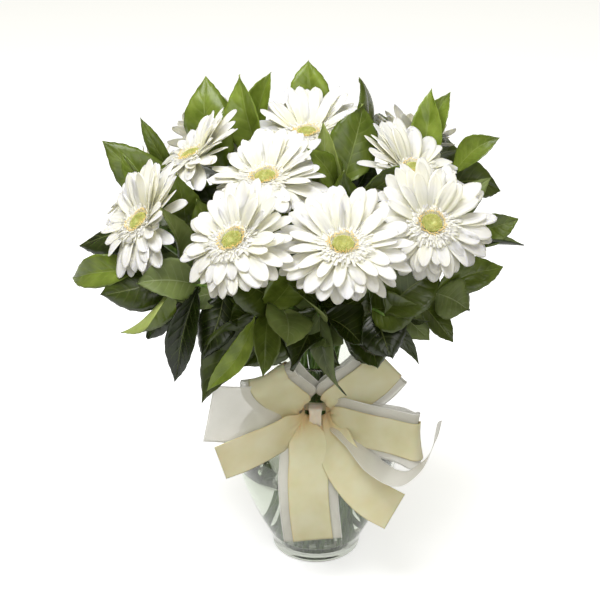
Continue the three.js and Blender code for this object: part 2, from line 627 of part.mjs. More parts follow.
const holes = [];
const headParts = HEADS.map((head, n) => {
  const number = String(n + 1).padStart(2, '0');
  const frame = headFrame(head);
  const heading = V(...head.facing).normalize();
  const end = V(...head.at).addScaledVector(heading, STEM_END);
  const points = stemPoints(head.ring, head.turn, end, heading, 5, 70);
  holes.push(holeFor(points, FLOWER_STEM_R));
  const stem = largest(union([rod(points, FLOWER_STEM_R, 5), calyxSolid(frame)]));
  const centre = centreSolid(frame);
  const plug = plugSolid(frame);
  addPiece(`gerbera_${number}_stem`, stem, FINISHES.stem);
  addPiece(`gerbera_${number}_centre`, centre, FINISHES.centre);
  place(`stem ${n}`, stem);
  place(`centre ${n}`, centre);
  place(`petals ${n}`, plug);
  return { number, plug };
});

const sprayParts = SPRAYS.map((spray, n) => {
  const pitch = rad(spray.pitch);
  const [x, y, z] = spray.end;
  const flat = V(x, y, 0).normalize();
  const heading = flat.multiplyScalar(Math.cos(pitch)).add(V(0, 0, Math.sin(pitch)));
  const points = stemPoints(spray.ring, spray.turn, V(x, y, z), heading, 7, 55);
  holes.push(holeFor(points, SPRAY_STEM_R));
  const stem = rod(points, SPRAY_STEM_R, 4);
  place(`spray ${n}`, stem);
  return { points, stem };
});

function addPetals(n) {
  const { number, plug } = headParts[n];
  const petals = growPetals(HEADS[n], 10 * n + 3, `petals ${n}`);
  addPiece(`gerbera_${number}_petals`, largest(union([plug, ...petals])), FINISHES.petals);
}

FRONT_HEADS.forEach(addPetals);
SPRAYS.forEach((spray, n) => {
  const { points, stem } = sprayParts[n];
  const leaves = growLeaves(spray, points, `spray ${n}`, 50 * n + 7);
  addPiece(`foliage_${String(n + 1).padStart(2, '0')}`, largest(union([stem, ...leaves])), FINISHES.leaves);
});

REAR_HEADS.forEach(addPetals);
addPiece('water', largest(waterSolid(holes)), FINISHES.water);

export default group;
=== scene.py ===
# %% [markdown]
# # A vase of white gerberas with a ribbon bow
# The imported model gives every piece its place. This lesson replaces each plain solid with a finer
# piece of the same form: veined leaves, petals in layers, a woven bow and clear glass.
# All sizes are in millimetres until a point is handed to a mesh, which is in metres.

# %% Start
import math

import bmesh
import bpy
from mathutils import Matrix, Vector, kdtree
from mathutils.bvhtree import BVHTree


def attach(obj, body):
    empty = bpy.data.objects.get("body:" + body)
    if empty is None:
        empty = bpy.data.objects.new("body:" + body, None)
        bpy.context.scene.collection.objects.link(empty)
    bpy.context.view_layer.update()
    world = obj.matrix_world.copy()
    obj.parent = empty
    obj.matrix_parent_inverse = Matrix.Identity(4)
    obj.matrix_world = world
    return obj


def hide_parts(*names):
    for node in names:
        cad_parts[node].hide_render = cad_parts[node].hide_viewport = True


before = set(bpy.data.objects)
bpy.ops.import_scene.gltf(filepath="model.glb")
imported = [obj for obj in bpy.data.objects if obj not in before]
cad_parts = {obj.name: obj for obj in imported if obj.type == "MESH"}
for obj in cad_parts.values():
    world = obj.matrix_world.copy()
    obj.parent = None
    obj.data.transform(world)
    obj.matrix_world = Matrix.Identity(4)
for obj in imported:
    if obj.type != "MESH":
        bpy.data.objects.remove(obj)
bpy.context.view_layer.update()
MM = 0.001
scene = bpy.context.scene

# %% [markdown]
# ## Camera
# The picture is seen from 24 degrees above the table, 1.3 m away, through a lens of about 82 mm.
# These could be found by trying, but the ellipses of the vase's foot and lip give the height of
# the view, and the size of near and far flower heads gives the distance.

# %% Camera
ELEVATION, DISTANCE, LENS = math.radians(24), 1300.0, 82.1
target = Vector((-16.5, 0, 268.4))
eye = target + DISTANCE * Vector((0, -math.cos(ELEVATION), math.sin(ELEVATION)))
camera_data = bpy.data.cameras.new("photo_view")
camera_data.lens, camera_data.sensor_width = LENS, 36.0
camera_data.clip_end = 20
camera = bpy.data.objects.new("photo_view", camera_data)
camera.location = eye * MM
camera.rotation_euler = (target - eye).to_track_quat("-Z", "Y").to_euler()
scene.collection.objects.link(camera)
scene.camera = camera
scene.view_settings.view_transform = "Standard"
print("camera at", [round(c) for c in eye])

# %% [markdown]
# ## Small helpers
# No two petals or leaves are alike. Steady draws give each its own small change, and the same one
# on each run, so the flowers don't rearrange themselves between two renders.

# %% Draws and curves
def draw(seed, k):
    """Steady number between -1 and 1: the digits far down in a large sine look random."""
    wide = math.sin(seed * 78.233 + k * 12.9898) * 43758.5453
    return 2 * (wide - math.floor(wide)) - 1


def smooth(x):
    """Goes from 0 to 1 without a corner at either end."""
    x = min(max(x, 0.0), 1.0)
    return x * x * (3 - 2 * x)


def along_table(table, x):
    """Smooth curve through (x, y) pairs."""
    for (x0, y0), (x1, y1) in zip(table, table[1:]):
        if x <= x1:
            return y0 + (y1 - y0) * smooth((x - x0) / (x1 - x0)) if x > x0 else y0
    return table[-1][1]


def turned_about(vector, axis, degrees):
    return Matrix.Rotation(math.radians(degrees), 3, axis) @ vector


print("two draws", round(draw(1, 1), 3), round(draw(1, 2), 3))

# %% [markdown]
# Petals, leaves and ribbons are thin and bent every way. They could be sculpted, but there are
# hundreds. Each starts as a flat grid instead, and a small function says where every point of the
# grid goes. A rod is a grid as well, rolled up round a line and closed at its ends.

# %% Grids and rods
def new_bmesh():
    bm = bmesh.new()
    bm.loops.layers.uv.new("UVMap")
    return bm


def new_grid(bm, across, along, place):
    """A grid of faces; place(u, v), both 0 to 1, gives each point in millimetres."""
    made = bmesh.ops.create_grid(bm, x_segments=across, y_segments=along, size=0.5, calc_uvs=True)
    for vert in made["verts"]:
        vert.co = place(vert.co.x + 0.5, vert.co.y + 0.5) * MM
    return made["verts"]


def new_tube(bm, points, radius, sides=8):
    """A closed round rod along the points; radius(share) is its size from start to end."""
    frames = []
    side = None
    for i, point in enumerate(points):
        ahead = (points[min(i + 1, len(points) - 1)] - points[max(i - 1, 0)]).normalized()
        side = ahead.orthogonal() if side is None else side - ahead * side.dot(ahead)
        side.normalize()
        frames.append((point, side.copy(), ahead.cross(side)))
    steps = len(points) - 1

    def place(u, v):
        at, one, two = frames[round(v * steps)]
        turn = 2 * math.pi * u
        return at + radius(v) * (one * math.cos(turn) + two * math.sin(turn))

    verts = new_grid(bm, sides, steps, place)
    bmesh.ops.remove_doubles(bm, verts=verts, dist=1e-7)
    rim = {e for v in verts if v.is_valid for e in v.link_edges if e.is_boundary}
    bmesh.ops.holes_fill(bm, edges=list(rim), sides=0)
    return [v for v in verts if v.is_valid]


print("grids and rods ready")

# %% [markdown]
# A finished piece rides on the part's body and stands for the CAD nodes that it replaces. Where it
# is thin, a Solidify modifier gives it its thickness, half to each side, with the last material
# on the side that is added.

# %% From bmesh to piece
def finish_piece(name, bm, nodes, materials, thickness=0.0, recalc=True):
    """Turns a bmesh into a piece that rides on the part and stands for its CAD nodes."""
    if recalc:
        bmesh.ops.recalc_face_normals(bm, faces=bm.faces)
    mesh = bpy.data.meshes.new(name)
    bm.to_mesh(mesh)
    bm.free()
    for polygon in mesh.polygons:
        polygon.use_smooth = True
    for material in materials:
        mesh.materials.append(material)
    piece = bpy.data.objects.new(name, mesh)
    scene.collection.objects.link(piece)
    if thickness:
        wall = piece.modifiers.new("wall", "SOLIDIFY")
        wall.thickness, wall.offset = thickness * MM, 0
        wall.material_offset = len(materials) - 1
    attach(piece, "root")
    if nodes:
        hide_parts(*nodes)
    return piece


print("helpers ready")

# %% [markdown]
# ## Materials
# Each material starts from what the real thing is and how its surface came about, and is named for
# that. Colours are sRGB hex values, as a colour picker shows them, and one function turns them to
# linear, which is what a shader works in. Every node is added by the same small function, so that
# its settings and its links stand together. Patterns are scaled from real sizes in millimetres.

# %% Nodes and colours
def linear(hex_colour):
    """sRGB hex to linear RGBA."""
    parts = [int(hex_colour[i:i + 2], 16) / 255 for i in (1, 3, 5)]
    return [c / 12.92 if c <= 0.04045 else ((c + 0.055) / 1.055) ** 2.4 for c in parts] + [1.0]


def fill_node(tree, node, settings=(), links=()):
    """Settings are sockets or properties, by name or place; links are {input: node or output}."""
    for key, value in dict(settings).items():
        if isinstance(key, int) or key in node.inputs:
            node.inputs[key].default_value = value
        else:
            setattr(node, key, value)
    for key, output in dict(links).items():
        if isinstance(output, bpy.types.Node):
            output = output.outputs[0]
        tree.links.new(output, node.inputs[key])
    return node


def add_node(tree, kind, settings=(), links=()):
    return fill_node(tree, tree.nodes.new(kind), settings, links)


def set_stops(ramp, stops):
    """Gives a colour ramp its (place, hex) stops."""
    elements = ramp.color_ramp.elements
    for element, (place, colour) in ((elements[0], stops[0]), (elements[1], stops[-1])):
        element.position, element.color = place, linear(colour)
    for place, colour in stops[1:-1]:
        elements.new(place).color = linear(colour)
    return ramp


def new_material(name):
    material = bpy.data.materials.new(name)
    material.use_nodes = True
    return material, material.node_tree, material.node_tree.nodes["Principled BSDF"]


print("middle grey", [round(c, 3) for c in linear("#808080")])

# %% [markdown]
# Petals, leaves and ribbons share a few patterns. Their grids carry a UV map, with U across the
# piece and V along it, so stripes and veins follow the surface however it bends. Cloudy patches
# read Object coordinates instead, because they don't follow any direction.

# %% Shared patterns
def across_and_along(tree):
    """U across a petal, leaf or ribbon, and V along it."""
    coords = add_node(tree, "ShaderNodeUVMap", {"uv_map": "UVMap"})
    split = add_node(tree, "ShaderNodeSeparateXYZ", links={"Vector": coords})
    return split.outputs["X"], split.outputs["Y"]


def from_middle(tree, across):
    """Distance from the middle line, 0 to 0.5."""
    offset = add_node(tree, "ShaderNodeMath", {"operation": "SUBTRACT", 1: 0.5}, {0: across})
    return add_node(tree, "ShaderNodeMath", {"operation": "ABSOLUTE"}, {0: offset})


def stripes(tree, direction, count):
    """A wave that goes from -1 to 1 count times on the way from 0 to 1."""
    turns = add_node(tree, "ShaderNodeMath", {"operation": "MULTIPLY", 1: 2 * math.pi * count},
                     {0: direction})
    return add_node(tree, "ShaderNodeMath", {"operation": "SINE"}, {0: turns})


def patches(tree, size, detail):
    """Cloudy patches of a size in millimetres."""
    coords = add_node(tree, "ShaderNodeTexCoord")
    return add_node(tree, "ShaderNodeTexNoise", {"Scale": 1 / (size * MM), "Detail": detail},
                    {"Vector": coords.outputs["Object"]})


print("pattern helpers ready")

# %% [markdown]
# ### Petals
# A gerbera's ray petal is soft, thin tissue full of tiny air gaps: matt, creamy white, with a few
# long grooves. It turns green-yellow towards the root, partly its own tint and partly painted shade
# of the flower's deep heart. It could be a plain white diffuse surface, but then its shaded folds
# turn grey. Light that enters a real petal spreads and comes out again, so the shader scatters it
# below the surface, and the folds keep their warm glow.

# %% Petal tissue
GROOVES, FINE_GROOVES = 4, 13

petal_tissue, tree, shader = new_material("gerbera_ray_tissue")
across, along = across_and_along(tree)
# Painted shade: green-yellow at the root, where the petals lie in the shade of the heart, white at
# the tip; partly the petal's own tint.
root_tint_and_shade = set_stops(add_node(tree, "ShaderNodeValToRGB", links={"Fac": along}),
                        [(0.0, "#f6f5d2"), (0.22, "#f9f8de"), (0.5, "#fdfcf1"), (1.0, "#fffefa")])
warm = set_stops(add_node(tree, "ShaderNodeValToRGB", links={"Fac": patches(tree, 24, 2.0)}),
                 [(0.35, "#fbf9ea"), (0.65, "#ffffff")])
tint = add_node(tree, "ShaderNodeMix", {"data_type": "RGBA", "blend_type": "MULTIPLY", 0: 0.8},
                {6: root_tint_and_shade, 7: warm})
ribs = add_node(tree, "ShaderNodeMath", {"operation": "MULTIPLY_ADD", 1: 0.3},
                {0: stripes(tree, across, FINE_GROOVES), 2: stripes(tree, across, GROOVES)})
relief = add_node(tree, "ShaderNodeBump", {"Distance": 0.1 * MM, "Strength": 0.45},
                  {"Height": ribs})
fill_node(tree, shader, {"Roughness": 0.5, "Specular IOR Level": 0.3, "Sheen Weight": 0.15,
                         "Subsurface Weight": 0.6, "Subsurface Radius": (1.0, 0.97, 0.6),
                         "Subsurface Scale": 3.5 * MM},
          {"Base Color": tint.outputs[2], "Normal": relief})
print("petals:", petal_tissue.name)

# %% [markdown]
# ### Heart of the flower
# The disc is packed with small closed florets, yellow-green and slightly waxy, so they give small
# soft highlights. Round it stands a ring of gold stamens, then a fringe of short cream florets.
# Buds and threads could be painted on a smooth cushion, but each catches its own light, so they
# are real shapes here and their materials stay simple.

# %% Disc, stamens and fringe
disc_florets, tree, shader = new_material("closed_disc_florets")
flecks = set_stops(add_node(tree, "ShaderNodeValToRGB", links={"Fac": patches(tree, 2.5, 1.0)}),
                   [(0.3, "#a9ae58"), (0.55, "#bdc070"), (0.8, "#d6d79a")])
fill_node(tree, shader, {"Roughness": 0.45, "Subsurface Weight": 0.2, "Subsurface Scale": 1.5 * MM},
          {"Base Color": flecks})

stamen_gold, tree, shader = new_material("pollen_stamens")
along = across_and_along(tree)[1]
pollen = set_stops(add_node(tree, "ShaderNodeValToRGB", links={"Fac": along}),
                   [(0.0, "#fffdf2"), (0.66, "#fcf5da"), (0.78, "#f4dc9a"), (1.0, "#e8c478")])
fill_node(tree, shader, {"Roughness": 0.6}, {"Base Color": pollen})

fringe_cream, tree, shader = new_material("trans_floret_fringe")
along = across_and_along(tree)[1]
cream = set_stops(add_node(tree, "ShaderNodeValToRGB", links={"Fac": along}),
                  [(0.0, "#faf6d6"), (0.3, "#fdfae4"), (1.0, "#fffef2")])
fill_node(tree, shader, {"Roughness": 0.5, "Subsurface Weight": 0.6,
                         "Subsurface Radius": (1.0, 0.97, 0.6), "Subsurface Scale": 3 * MM},
          {"Base Color": cream})
print("heart:", disc_florets.name, stamen_gold.name, fringe_cream.name)

# %% [markdown]
# ### Leaves
# The leaves are leathery: waxed and glossy on top, duller and paler beneath, with a light midrib
# and side veins that leave it at a slant. The veins could be a picture, but U and V already say
# where they run: a wave along V, slanted by the distance from the midrib, is sharpened by a high
# power to thin lines. The same wave, less sharp, raises the blade between the veins. An attribute
# holds how bright each leaf's greens are, partly for its youth and partly as painted light: leaves
# high in the bunch are lit from above, low ones lie in shade. The Solidify modifier gives the second
# material to the side that it adds, which is the underside.

# %% Leaf blade
VEIN_PAIRS, VEIN_SLANT = 8, 0.42


def leaf_skin(name, old_and_shaded_stops, young_and_lit_stops, vein_colour, vein_share, roughness):
    material, tree, shader = new_material(name)
    across, along = across_and_along(tree)
    from_rib = from_middle(tree, across)
    slant = add_node(tree, "ShaderNodeMath", {"operation": "MULTIPLY_ADD", 1: -VEIN_SLANT},
                     {0: from_rib, 2: along})
    turns = add_node(tree, "ShaderNodeMath", {"operation": "MULTIPLY", 1: 2 * math.pi * VEIN_PAIRS},
                     {0: slant})
    wave = add_node(tree, "ShaderNodeMath", {"operation": "COSINE"}, {0: turns})
    ridge = add_node(tree, "ShaderNodeMath", {"operation": "MULTIPLY_ADD", 1: 0.5, 2: 0.5},
                     {0: wave})
    thin = add_node(tree, "ShaderNodeMath", {"operation": "POWER", 1: 22.0}, {0: ridge})
    fade = add_node(tree, "ShaderNodeMapRange",
                    {"From Min": 0.02, "From Max": 0.47, "To Min": 0.45, "To Max": 0.0},
                    {"Value": from_rib})
    side_veins = add_node(tree, "ShaderNodeMath", {"operation": "MULTIPLY"}, {0: thin, 1: fade})
    midrib = add_node(tree, "ShaderNodeMapRange",
                      {"From Min": 0.006, "From Max": 0.022, "To Min": 1.0, "To Max": 0.0},
                      {"Value": from_rib})
    veins = add_node(tree, "ShaderNodeMath", {"operation": "MAXIMUM"}, {0: side_veins, 1: midrib})
    paleness = add_node(tree, "ShaderNodeMath", {"operation": "MULTIPLY", 1: vein_share},
                        {0: veins})

    mottle = patches(tree, 16, 3.0)
    old_and_shaded = set_stops(add_node(tree, "ShaderNodeValToRGB", links={"Fac": mottle}), old_and_shaded_stops)
    young_and_lit = set_stops(add_node(tree, "ShaderNodeValToRGB", links={"Fac": mottle}), young_and_lit_stops)
    # Painted light and shade: this mixes from the darker greens, for old and shaded leaves, to the
    # brighter ones, for young leaves lit from above.
    youth_and_light = add_node(tree, "ShaderNodeAttribute", {"attribute_name": "young_and_lit"})
    green = add_node(tree, "ShaderNodeMix", {"data_type": "RGBA"},
                     {0: youth_and_light.outputs["Fac"], 6: old_and_shaded, 7: young_and_lit})
    blade = add_node(tree, "ShaderNodeMix", {"data_type": "RGBA", 7: linear(vein_colour)},
                     {0: paleness, 6: green.outputs[2]})

    quilt = add_node(tree, "ShaderNodeMath", {"operation": "POWER", 1: 3.0}, {0: ridge})
    grain = add_node(tree, "ShaderNodeMath", {"operation": "MULTIPLY", 1: 0.3}, {0: mottle})
    swell = add_node(tree, "ShaderNodeMath", {"operation": "MULTIPLY_ADD", 1: -0.6},
                     {0: quilt, 2: grain})
    height = add_node(tree, "ShaderNodeMath", {"operation": "SUBTRACT"}, {0: swell, 1: midrib})
    relief = add_node(tree, "ShaderNodeBump", {"Distance": 0.35 * MM, "Strength": 0.6},
                      {"Height": height})
    fill_node(tree, shader, {"Roughness": roughness, "Specular IOR Level": 0.33,
                             "Subsurface Weight": 0.15, "Subsurface Radius": (0.5, 0.9, 0.15),
                             "Subsurface Scale": 1.5 * MM},
              {"Base Color": blade.outputs[2], "Normal": relief})
    return material


# The wax on top gives clear highlights; the underside has hardly any and looks chalky beside it.
# The first greens are for old and shaded leaves, the second for young ones lit from above: painted
# light and shade besides the leaf's age.
leaf_top = leaf_skin("waxy_leaf_top", [(0.3, "#0f1604"), (0.7, "#232f0a")],
                     [(0.3, "#5d6f20"), (0.7, "#83953c")], "#a9b56c", 0.22, 0.27)
leaf_underside = leaf_skin("matt_leaf_underside", [(0.3, "#4b5830"), (0.7, "#64723f")],
                           [(0.3, "#8e9c4e"), (0.7, "#a2ae62")], "#bfc89c", 0.35, 0.55)
print("leaves:", leaf_top.name, leaf_underside.name)

# %% [markdown]
# ### Stems
# A cut stem is a smooth green skin over fibres that run along it. The fibres could be long dark
# lines drawn one by one. Noise that is stretched along the height gives the same streaks, because
# all the stems stand nearly upright.

# %% Stem skin
STREAK = (3, 3, 40)  # size of a streak in millimetres

stem_skin, tree, shader = new_material("green_stem_skin")
coords = add_node(tree, "ShaderNodeTexCoord")
stretched = add_node(tree, "ShaderNodeMapping",
                     {"Scale": [1 / (size * MM) for size in STREAK]},
                     {"Vector": coords.outputs["Object"]})
streaks = add_node(tree, "ShaderNodeTexNoise", {"Scale": 1.0, "Detail": 2.0}, {"Vector": stretched})
greens = set_stops(add_node(tree, "ShaderNodeValToRGB", links={"Fac": streaks}),
                   [(0.3, "#4d7424"), (0.7, "#86a74d")])
relief = add_node(tree, "ShaderNodeBump", {"Distance": 0.2 * MM, "Strength": 0.5},
                  {"Height": streaks})
fill_node(tree, shader, {"Roughness": 0.45}, {"Base Color": greens, "Normal": relief})
print("stems:", stem_skin.name)

# %% [markdown]
# ### Glass and water
# Blown soda-lime glass has an IOR of 1.52 and a faint tint that only its thick foot shows. A blown
# wall is never quite even, so long shallow waves bend what is seen through it. Water has an IOR of
# 1.33 and lies just inside the glass wall, so that no gap of air shows between the two. Both could
# be see-through by alpha, but only real refraction gives the dark rim lines that the eye expects.

# %% Glass and water
def clear_stuff(name, tint, roughness, ior, wave_size, wave_detail, wave_depth, wave_strength):
    """A clear solid whose surface has shallow waves, sized in millimetres."""
    material, tree, shader = new_material(name)
    waves = patches(tree, wave_size, wave_detail)
    relief = add_node(tree, "ShaderNodeBump",
                      {"Distance": wave_depth * MM, "Strength": wave_strength}, {"Height": waves})
    fill_node(tree, shader, {"Base Color": linear(tint), "Roughness": roughness, "IOR": ior,
                             "Transmission Weight": 1.0}, {"Normal": relief})
    return material


clear_glass = clear_stuff("blown_soda_glass", "#dfe2da", 0.015, 1.52, 60, 1.0, 1.0, 0.25)
vase_water = clear_stuff("tap_water", "#fafdfc", 0.0, 1.333, 40, 2.0, 0.3, 0.1)
print("clear:", clear_glass.name, vase_water.name)

# %% [markdown]
# ### Ribbons
# The bow is doubled: a cream taffeta ribbon over a wider see-through organza one, tied by a strip
# of satin. Taffeta threads are about 0.25 mm apart, too fine for this picture, so the weave is
# drawn at 0.8 mm. It could be a bump of noise, but woven threads cross at right angles, so two
# sets of stripes are added. U runs across a ribbon and V along it in widths, which keeps the weave
# square. Organza lets light through between its threads, so its alpha follows the same weave, and
# its woven edges are denser. Where the cloth is drawn together at the knot, the shade and bounced
# light between its folds are painted into it as a deeper colour.

# %% Ribbon cloth
THREAD = 0.8
HEM_FROM, HEM_TO = 0.475, 0.485  # the woven edge starts here, in widths from the middle
WEAVE_OPENING = 0.12  # how much alpha changes between a thread and a gap


def ribbon_cloth(name, stops, width, roughness, alpha, selvedge, fold_shade_colour):
    material, tree, shader = new_material(name)
    across, along = across_and_along(tree)
    threads = width / THREAD
    weave = add_node(tree, "ShaderNodeMath", {"operation": "ADD"},
                     {0: stripes(tree, along, threads), 1: stripes(tree, across, threads)})
    relief = add_node(tree, "ShaderNodeBump", {"Distance": 0.08 * MM, "Strength": 0.5},
                      {"Height": weave})
    cloud = set_stops(add_node(tree, "ShaderNodeValToRGB",
                               links={"Fac": patches(tree, 22, 2.0)}), stops)
    hem = add_node(tree, "ShaderNodeMapRange", {"From Min": HEM_FROM, "From Max": HEM_TO},
                   {"Value": from_middle(tree, across)})
    hem_share = add_node(tree, "ShaderNodeMath", {"operation": "MULTIPLY", 1: 0.6}, {0: hem})
    edged = add_node(tree, "ShaderNodeMix", {"data_type": "RGBA", 7: linear(selvedge)},
                     {0: hem_share, 6: cloud})
    # Painted shade: near the knot the cloth is mixed towards a deeper colour, as its folds shade each
    # other.
    gathered = add_node(tree, "ShaderNodeAttribute", {"attribute_name": "gathered"})
    cloth = add_node(tree, "ShaderNodeMix", {"data_type": "RGBA", 7: linear(fold_shade_colour)},
                     {0: gathered.outputs["Fac"], 6: edged.outputs[2]})
    fill_node(tree, shader, {"Roughness": roughness, "Sheen Weight": 0.25, "Sheen Roughness": 0.4},
              {"Base Color": cloth.outputs[2], "Normal": relief})
    if alpha < 1:
        between = add_node(tree, "ShaderNodeMapRange",
                           {"From Min": -2.0, "From Max": 2.0, "To Min": alpha - WEAVE_OPENING,
                            "To Max": alpha + WEAVE_OPENING}, {"Value": weave})
        dense = add_node(tree, "ShaderNodeMath", {"operation": "MULTIPLY", 1: 0.9}, {0: hem})
        solid = add_node(tree, "ShaderNodeMath", {"operation": "MAXIMUM"}, {0: between, 1: dense})
        fill_node(tree, shader, links={"Alpha": solid})
    else:
        fill_node(tree, shader, {"Subsurface Weight": 0.2, "Subsurface Scale": 2 * MM})
    return material


# Taffeta is crisp with a dry gloss, organza thin and bright, satin smooth with a soft shine.
# The last colour of each is the painted shade of its folds at the knot.
cream_taffeta = ribbon_cloth("cream_taffeta", [(0.3, "#ebdfb5"), (0.7, "#f4eaca")], 38, 0.5, 1.0,
                             "#dccf9c", "#efcb93")
white_organza = ribbon_cloth("white_organza", [(0.3, "#f5f4ee"), (0.7, "#fffefa")], 56, 0.4, 0.6,
                             "#ffffff", "#f2dfc0")
tie_satin = ribbon_cloth("tie_satin", [(0.3, "#f7e6d2"), (0.7, "#fdf2e4")], 38, 0.42, 1.0,
                         "#dcc8b0", "#dcae6c")
print("materials", len(bpy.data.materials))

# %% [markdown]
# ## Vase and water
# The vase is one blown piece with a thick foot, a wide shoulder, a narrow neck and a flared lip. It
# could be pulled into shape from a cylinder, ring by ring. But it is round about its axis, so its
# outline, up the outside and down the inside, is drawn once and spun. The outline holds the sizes
# of the CAD piece, with a smooth curve through them.

# %% Vase outline
VASE_OUTER = [
    (43, 0.4), (44.5, 3), (45, 10), (49, 20), (57, 36), (66, 56), (75, 80), (79.5, 98), (80.5, 110),
    (77.5, 124), (69, 138), (56, 149), (43, 157), (36, 164), (33.5, 171), (33.5, 178), (35.5, 187),
    (40, 196.5), (46, 206), (51, 214), (53, 219)]
WALL, FLOOR_Z, WATER_Z = 3.0, 14.0, 100.0
INNER_WALL = [(r - WALL, z) for r, z in VASE_OUTER[2:-1]]
CUTS = 4  # steps of the smooth curve between two sizes
VASE_STEPS, WATER_STEPS = 96, 72


def rounded(points, cuts):
    """Smooth curve through the points, with cuts steps between each two."""
    out = []
    for i in range(len(points) - 1):
        near = (points[min(max(i + k, 0), len(points) - 1)] for k in (-1, 0, 1, 2))
        p0, p1, p2, p3 = (Vector(point) for point in near)
        for step in range(cuts):
            t = step / cuts
            out.append(0.5 * ((2 * p1) + (p2 - p0) * t + (2 * p0 - 5 * p1 + 4 * p2 - p3) * t * t
                              + (3 * p1 - p0 - 3 * p2 + p3) * t ** 3))
    return out + [Vector(points[-1])]


print("outline sizes", len(VASE_OUTER))


# %% Spinning an outline
def spin_outline(outline, steps):
    """Spins (radius, height) pairs once round Z and closes the seam and poles."""
    bm = new_bmesh()
    verts = [bm.verts.new(Vector((p[0], 0, p[1])) * MM) for p in outline]
    edges = [bm.edges.new(pair) for pair in zip(verts, verts[1:])]
    bmesh.ops.spin(bm, geom=verts + edges, cent=(0, 0, 0), axis=(0, 0, 1), angle=2 * math.pi,
                   steps=steps, use_merge=True, use_duplicate=False)
    bmesh.ops.remove_doubles(bm, verts=bm.verts, dist=1e-6)
    return bm


print("spins of", VASE_STEPS, "and", WATER_STEPS, "steps")


# %% Vase
LIP = [(53.1, 219.6), (53, 220.2), (52.6, 220.7), (52, 220.95), (51.4, 220.95), (50.8, 220.7),
       (50.4, 220.2)]
LIP_INSIDE = (50.2, 219.2)
INNER_FLOOR = [(41.4, 2.2), (40, 0.9), (38, 0.2), (36, 0), (24, 0), (12, 0), (0, 0)]
FOOT = [(0, 0), (15, 0), (30, 0), (38, 0), (41, 0), (42.2, 0.1)]
glass_outline = FOOT + [tuple(p) for p in rounded(VASE_OUTER, CUTS)] + LIP
glass_outline += [tuple(p) for p in reversed(rounded(INNER_WALL + [LIP_INSIDE], CUTS))]
glass_outline += [(r, FLOOR_Z + h) for r, h in INNER_FLOOR]
vase = finish_piece("glass_vase", spin_outline(glass_outline, VASE_STEPS), ["vase"],
                    [clear_glass])
print("vase", len(vase.data.polygons), "faces")

# %% [markdown]
# Water wets the glass, so the two touch with no air between them. If both surfaces lay in the same
# place the renderer couldn't tell which comes first, so the water reaches a little into the wall.
# At the top it climbs the glass in a small curve, the meniscus.

# %% Water
WET, CLIMB, DIP = 0.25, 0.6, 0.4
WATER_FLOOR = [(0, 0), (12, 0), (24, 0), (36, 0), (38.2, 0.2), (40.3, 0.9), (41.7, 2.2)]
inner_curve = [tuple(p) for p in rounded(INNER_WALL, CUTS)]
inside = [(r + WET, z) for r, z in inner_curve if FLOOR_Z + 3 < z < WATER_Z]
meniscus = [(inside[-1][0] + 0.1, WATER_Z + CLIMB), (inside[-1][0] - 2.5, WATER_Z - DIP)]
water_outline = [(r, FLOOR_Z - 0.2 + h) for r, h in WATER_FLOOR]
water_outline += inside + meniscus + [(r, WATER_Z - 0.5) for r in (60, 40, 20, 0)]
water = finish_piece("vase_water", spin_outline(water_outline, WATER_STEPS), ["water"],
                     [vase_water])
print("water", len(water.data.polygons), "faces")

# %% [markdown]
# ## Stems
# The stems stand as straight lines that turn round each other like a screw, narrowest at the neck,
# as a florist ties them. Above the mouth each bends along one smooth curve to its head or leaves.
# They could be placed one by one, but then they would cut through each other. On straight lines
# that all turn by the same amount with height, in three rings, they keep their distance.

# %% Bundle
TWIST, NECK_Z, FREE_Z = 0.0118, 172.0, 205.0
RING_RADIUS = {"inner": 4.6, "middle": 11.6, "outer": 17.8}
GAP = 0.3  # between the foot of a stem and the floor of the vase
PULL = 55  # how far a stem keeps its direction above the mouth
STRAIGHT_CUTS, FREE_CUTS = 6, 16


def bundle_point(ring, turn, z):
    """A stem's point at a height, on a line that leans more the further out it stands."""
    radius, lean = RING_RADIUS[ring], TWIST * (z - NECK_Z)
    angle = math.radians(turn) - math.atan(TWIST * (FREE_Z - NECK_Z))
    return Vector((radius * (math.cos(angle) - lean * math.sin(angle)),
                   radius * (math.sin(angle) + lean * math.cos(angle)), z))


def stem_curve(ring, turn, end, heading, reach):
    """Foot, and a function that gives the free stretch's point at t from 0 to 1."""
    foot, start = bundle_point(ring, turn, FLOOR_Z + GAP), bundle_point(ring, turn, FREE_Z)
    one, two = start + (start - foot).normalized() * PULL, end - heading * reach

    def point(t):
        s = 1 - t
        return start * s ** 3 + one * 3 * s * s * t + two * 3 * s * t * t + end * t ** 3

    return foot, point


def stem_points(foot, point):
    straight = [foot.lerp(point(0), i / STRAIGHT_CUTS) for i in range(STRAIGHT_CUTS)]
    return straight + [point(i / FREE_CUTS) for i in range(FREE_CUTS + 1)]


print("outer ring at the neck", [round(c, 1) for c in bundle_point("outer", 0, NECK_Z)])


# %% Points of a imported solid
def mesh_points(node):
    """The corners of a CAD node, for quick search of the one nearest to a place."""
    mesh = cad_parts[node].data
    tree = kdtree.KDTree(len(mesh.vertices))
    for vert in mesh.vertices:
        tree.insert(vert.co / MM, vert.index)
    tree.balance()
    return tree


print("corners of the first spray", len(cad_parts["foliage_01"].data.vertices))

# %% [markdown]
# ## Leaves
# A leafy spray is one stem with a leaf at each of its upper joints. The table says where the stem
# ends and where each leaf points, joint 7 being the end of the stem. A face is the way that the
# upper side of a leaf looks.

# %% Sprays
FACES = {"up": (0, 0, 1), "front": (0, -1, 0.35), "left": (-0.8, -0.2, 0.7),
         "right": (0.8, -0.2, 0.7), "back": (0, 0.8, 0.6), "under": (0, -0.5, -0.8)}
JOINTS = 7
